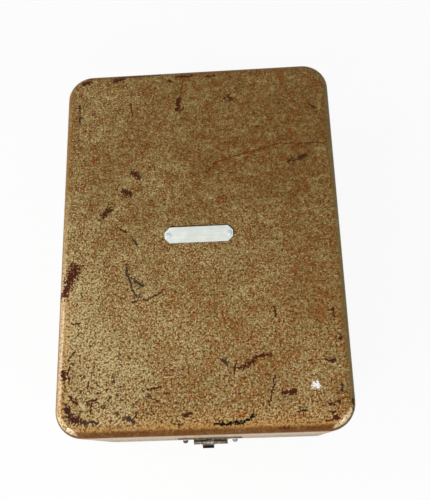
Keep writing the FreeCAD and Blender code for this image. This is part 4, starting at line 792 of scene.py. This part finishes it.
def silvered_mirror():
    """Silver, tarnished in clouds."""
    f = Finish("silvered_mirror")
    tarnish = f.between(f.noise(120, 4, 0.65), 0.52, 0.7)
    return f.set(
        Base_Color=f.over(f.sum("MULTIPLY", tarnish, 0.6), (222, 222, 216), (150, 132, 100)),
        Metallic=1.0,
        Roughness=f.between(tarnish, 0.0, 1.0, 0.04, 0.24),
        Normal=f.raised(f.noise(60, 2), 0.01),
    )


def porcelain():
    """White glaze, crazed and stained by heat."""
    f = Finish("glazed_porcelain")
    craze = f.between(f.from_cracks(190), 0.0, 0.018, 0.3, 0.0)
    stain = f.noise(110, 4)
    glaze = f.shades(stain, (0.3, (214, 204, 180)), (0.7, (234, 228, 214)))
    return f.set(
        Base_Color=f.over(craze, glaze, (150, 128, 96)),
        Roughness=f.between(stain, 0.3, 0.7, 0.1, 0.2),
        Normal=f.raised(stain, 0.04),
        Coat_Weight=0.3,
        Coat_Roughness=0.06,
    )


def moulded_resin():
    """Dark brown resin with the swirls of its moulding."""
    f = Finish("mottled_brown_resin")
    bent = f.vector("MULTIPLY_ADD", f.noise(60, 2, colour=True), (10 * MM,) * 3, f.place)
    swirl = f.noise(120, 4, 0.6, place=bent)
    fine = f.noise(900, 2)
    return f.set(
        Base_Color=f.shades(swirl, (0.35, (28, 15, 11)), (0.52, (50, 26, 16)), (0.68, (78, 42, 24))),
        Roughness=f.between(fine, 0.3, 0.7, 0.2, 0.34),
        Normal=f.raised(fine, 0.015),
    )


def drawn_wire():
    """Tungsten, drawn out along its length."""
    f = Finish("drawn_tungsten_wire")
    drawn = f.noise(2400, 2, place=f.stretched((1, 1, 0.05)))
    return f.set(
        Base_Color=f.shades(drawn, (0.3, (92, 92, 95)), (0.7, (142, 142, 146))),
        Metallic=0.95,
        Roughness=f.between(drawn, 0.3, 0.7, 0.3, 0.5),
        Normal=f.raised(drawn, 0.01),
    )


# A finish for each material slot, and for the pieces that have one of their own.
FINISHES = {
    "case_paint": case_paint(),
    "steel": worn_steel(),
    "plate_metal": plate_metal(),
    "foot_rubber": foot_rubber(),
    "bed_wood": mahogany("mahogany_bed", (1, 0.05, 1)),
    "black_enamel": crackle_enamel(),
    "lens_brass": turned_brass(),
    "clear_glass": optical_glass(),
    "mirror_metal": silvered_mirror(),
    "porcelain": porcelain(),
    "brown_resin": moulded_resin(),
    "tungsten": drawn_wire(),
}
SPECIAL = {
    "lamp_wires": braided_wire(),
    "slide_carrier": mahogany("mahogany_carrier", (0.05, 1, 1)),
    "latch_plate": latch_nickel("dull_nickel", 0.0),
    "latch_rivets": latch_rivet_steel(),
    "latch_hasp": latch_nickel("nickel_thumb_tab", 0.14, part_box("latch_hasp")[0].y),
    "name_plate_rivets": bright_rivets(),
}
SPECIAL["glass_slide_left"] = SPECIAL["glass_slide_right"] = bound_slide()

for subpart in frame["record"]["subparts"]:
    piece = frame["nodes"][subpart["node"]]
    finish = SPECIAL.get(subpart["node"], FINISHES[subpart["material_slot"]])
    piece.data.materials.clear()
    piece.data.materials.append(finish)


# Floor, light and camera.
def shown_white(tree):
    """How far a ray sees the plain white ground itself: camera, mirror and glass rays do."""
    path = tree.nodes.new("ShaderNodeLightPath")
    seen = path.outputs["Is Camera Ray"]
    for name in ("Is Glossy Ray", "Is Transmission Ray"):
        either = tree.nodes.new("ShaderNodeMath")
        either.operation = "MAXIMUM"
        tree.links.new(seen, either.inputs[0])
        tree.links.new(path.outputs[name], either.inputs[1])
        seen = either.outputs[0]
    return seen


def lay_floor():
    """A plain pale floor that shows as white and keeps the object's shadow."""
    bpy.ops.mesh.primitive_plane_add(size=FLOOR_SIZE)
    floor = bpy.context.object
    floor.name = "floor"
    ground = bpy.data.materials.new("white_ground")
    ground.use_nodes = True
    tree = ground.node_tree
    tree.nodes.clear()
    matt = tree.nodes.new("ShaderNodeBsdfDiffuse")
    matt.inputs["Color"].default_value = tint(*FLOOR_COLOUR)
    bright = tree.nodes.new("ShaderNodeEmission")
    bright.inputs["Color"].default_value = (1, 1, 1, 1)
    share = tree.nodes.new("ShaderNodeMath")
    share.operation = "MULTIPLY"
    share.inputs[1].default_value = FLOOR_GLOW
    tree.links.new(shown_white(tree), share.inputs[0])
    mixed = tree.nodes.new("ShaderNodeMixShader")
    tree.links.new(share.outputs[0], mixed.inputs["Fac"])
    tree.links.new(matt.outputs[0], mixed.inputs[1])
    tree.links.new(bright.outputs[0], mixed.inputs[2])
    output = tree.nodes.new("ShaderNodeOutputMaterial")
    tree.links.new(mixed.outputs[0], output.inputs["Surface"])
    floor.data.materials.append(ground)


def light_world():
    """A soft sky, brighter overhead than at the horizon, that the camera, metal and glass see as white."""
    world = bpy.data.worlds.new("soft_studio")
    world.use_nodes = True
    bpy.context.scene.world = world
    tree = world.node_tree
    tree.nodes.clear()
    direction = tree.nodes.new("ShaderNodeTexCoord")
    axes = tree.nodes.new("ShaderNodeSeparateXYZ")
    tree.links.new(direction.outputs["Generated"], axes.inputs[0])
    sky = tree.nodes.new("ShaderNodeValToRGB")
    sky.color_ramp.elements[0].position = 0.0
    sky.color_ramp.elements[0].color = (*(HORIZON_LEVEL,) * 3, 1)
    sky.color_ramp.elements[1].position = 1.0
    sky.color_ramp.elements[1].color = (*(ZENITH_LEVEL,) * 3, 1)
    tree.links.new(axes.outputs[2], sky.inputs[0])
    mixed = tree.nodes.new("ShaderNodeMixShader")
    tree.links.new(shown_white(tree), mixed.inputs[0])
    for slot, colour in ((1, sky.outputs[0]), (2, None)):
        ground = tree.nodes.new("ShaderNodeBackground")
        ground.inputs["Color"].default_value = (*(BACKDROP_LEVEL,) * 3, 1)
        if colour:
            tree.links.new(colour, ground.inputs["Color"])
        tree.links.new(ground.outputs[0], mixed.inputs[slot])
    output = tree.nodes.new("ShaderNodeOutputWorld")
    tree.links.new(mixed.outputs[0], output.inputs["Surface"])


def hang_lamp(name, place, size, power):
    """A soft lamp, turned toward the case."""
    lamp = bpy.data.lights.new(name, "AREA")
    lamp.shape = "RECTANGLE"
    lamp.size, lamp.size_y = size
    lamp.energy = power
    holder = bpy.data.objects.new(name, lamp)
    holder.location = place
    holder.rotation_euler = (Vector(LAMP_AIM) - Vector(place)).to_track_quat("-Z", "Y").to_euler()
    bpy.context.scene.collection.objects.link(holder)


def set_camera():
    """Above the latch, looking down and back along the lid."""
    data = bpy.data.cameras.new("portrait")
    data.sensor_fit = "VERTICAL"
    data.sensor_height = 24.0
    data.lens = FOCAL_SHARE * data.sensor_height
    data.clip_start = 0.01
    camera = bpy.data.objects.new("portrait", data)
    stand = Matrix.Translation(CAMERA_PLACE)
    for angle, axis in ((CAMERA_YAW, "Z"), (CAMERA_TILT, "X"), (CAMERA_ROLL, "Z")):
        stand = stand @ Matrix.Rotation(math.radians(angle), 4, axis)
    camera.matrix_world = stand
    bpy.context.scene.collection.objects.link(camera)
    bpy.context.scene.camera = camera


lay_floor()
light_world()
for lamp_name, (lamp_place, lamp_size, lamp_power) in LAMPS.items():
    hang_lamp(lamp_name, lamp_place, lamp_size, lamp_power)
set_camera()
bpy.context.scene.view_settings.view_transform = "Standard"
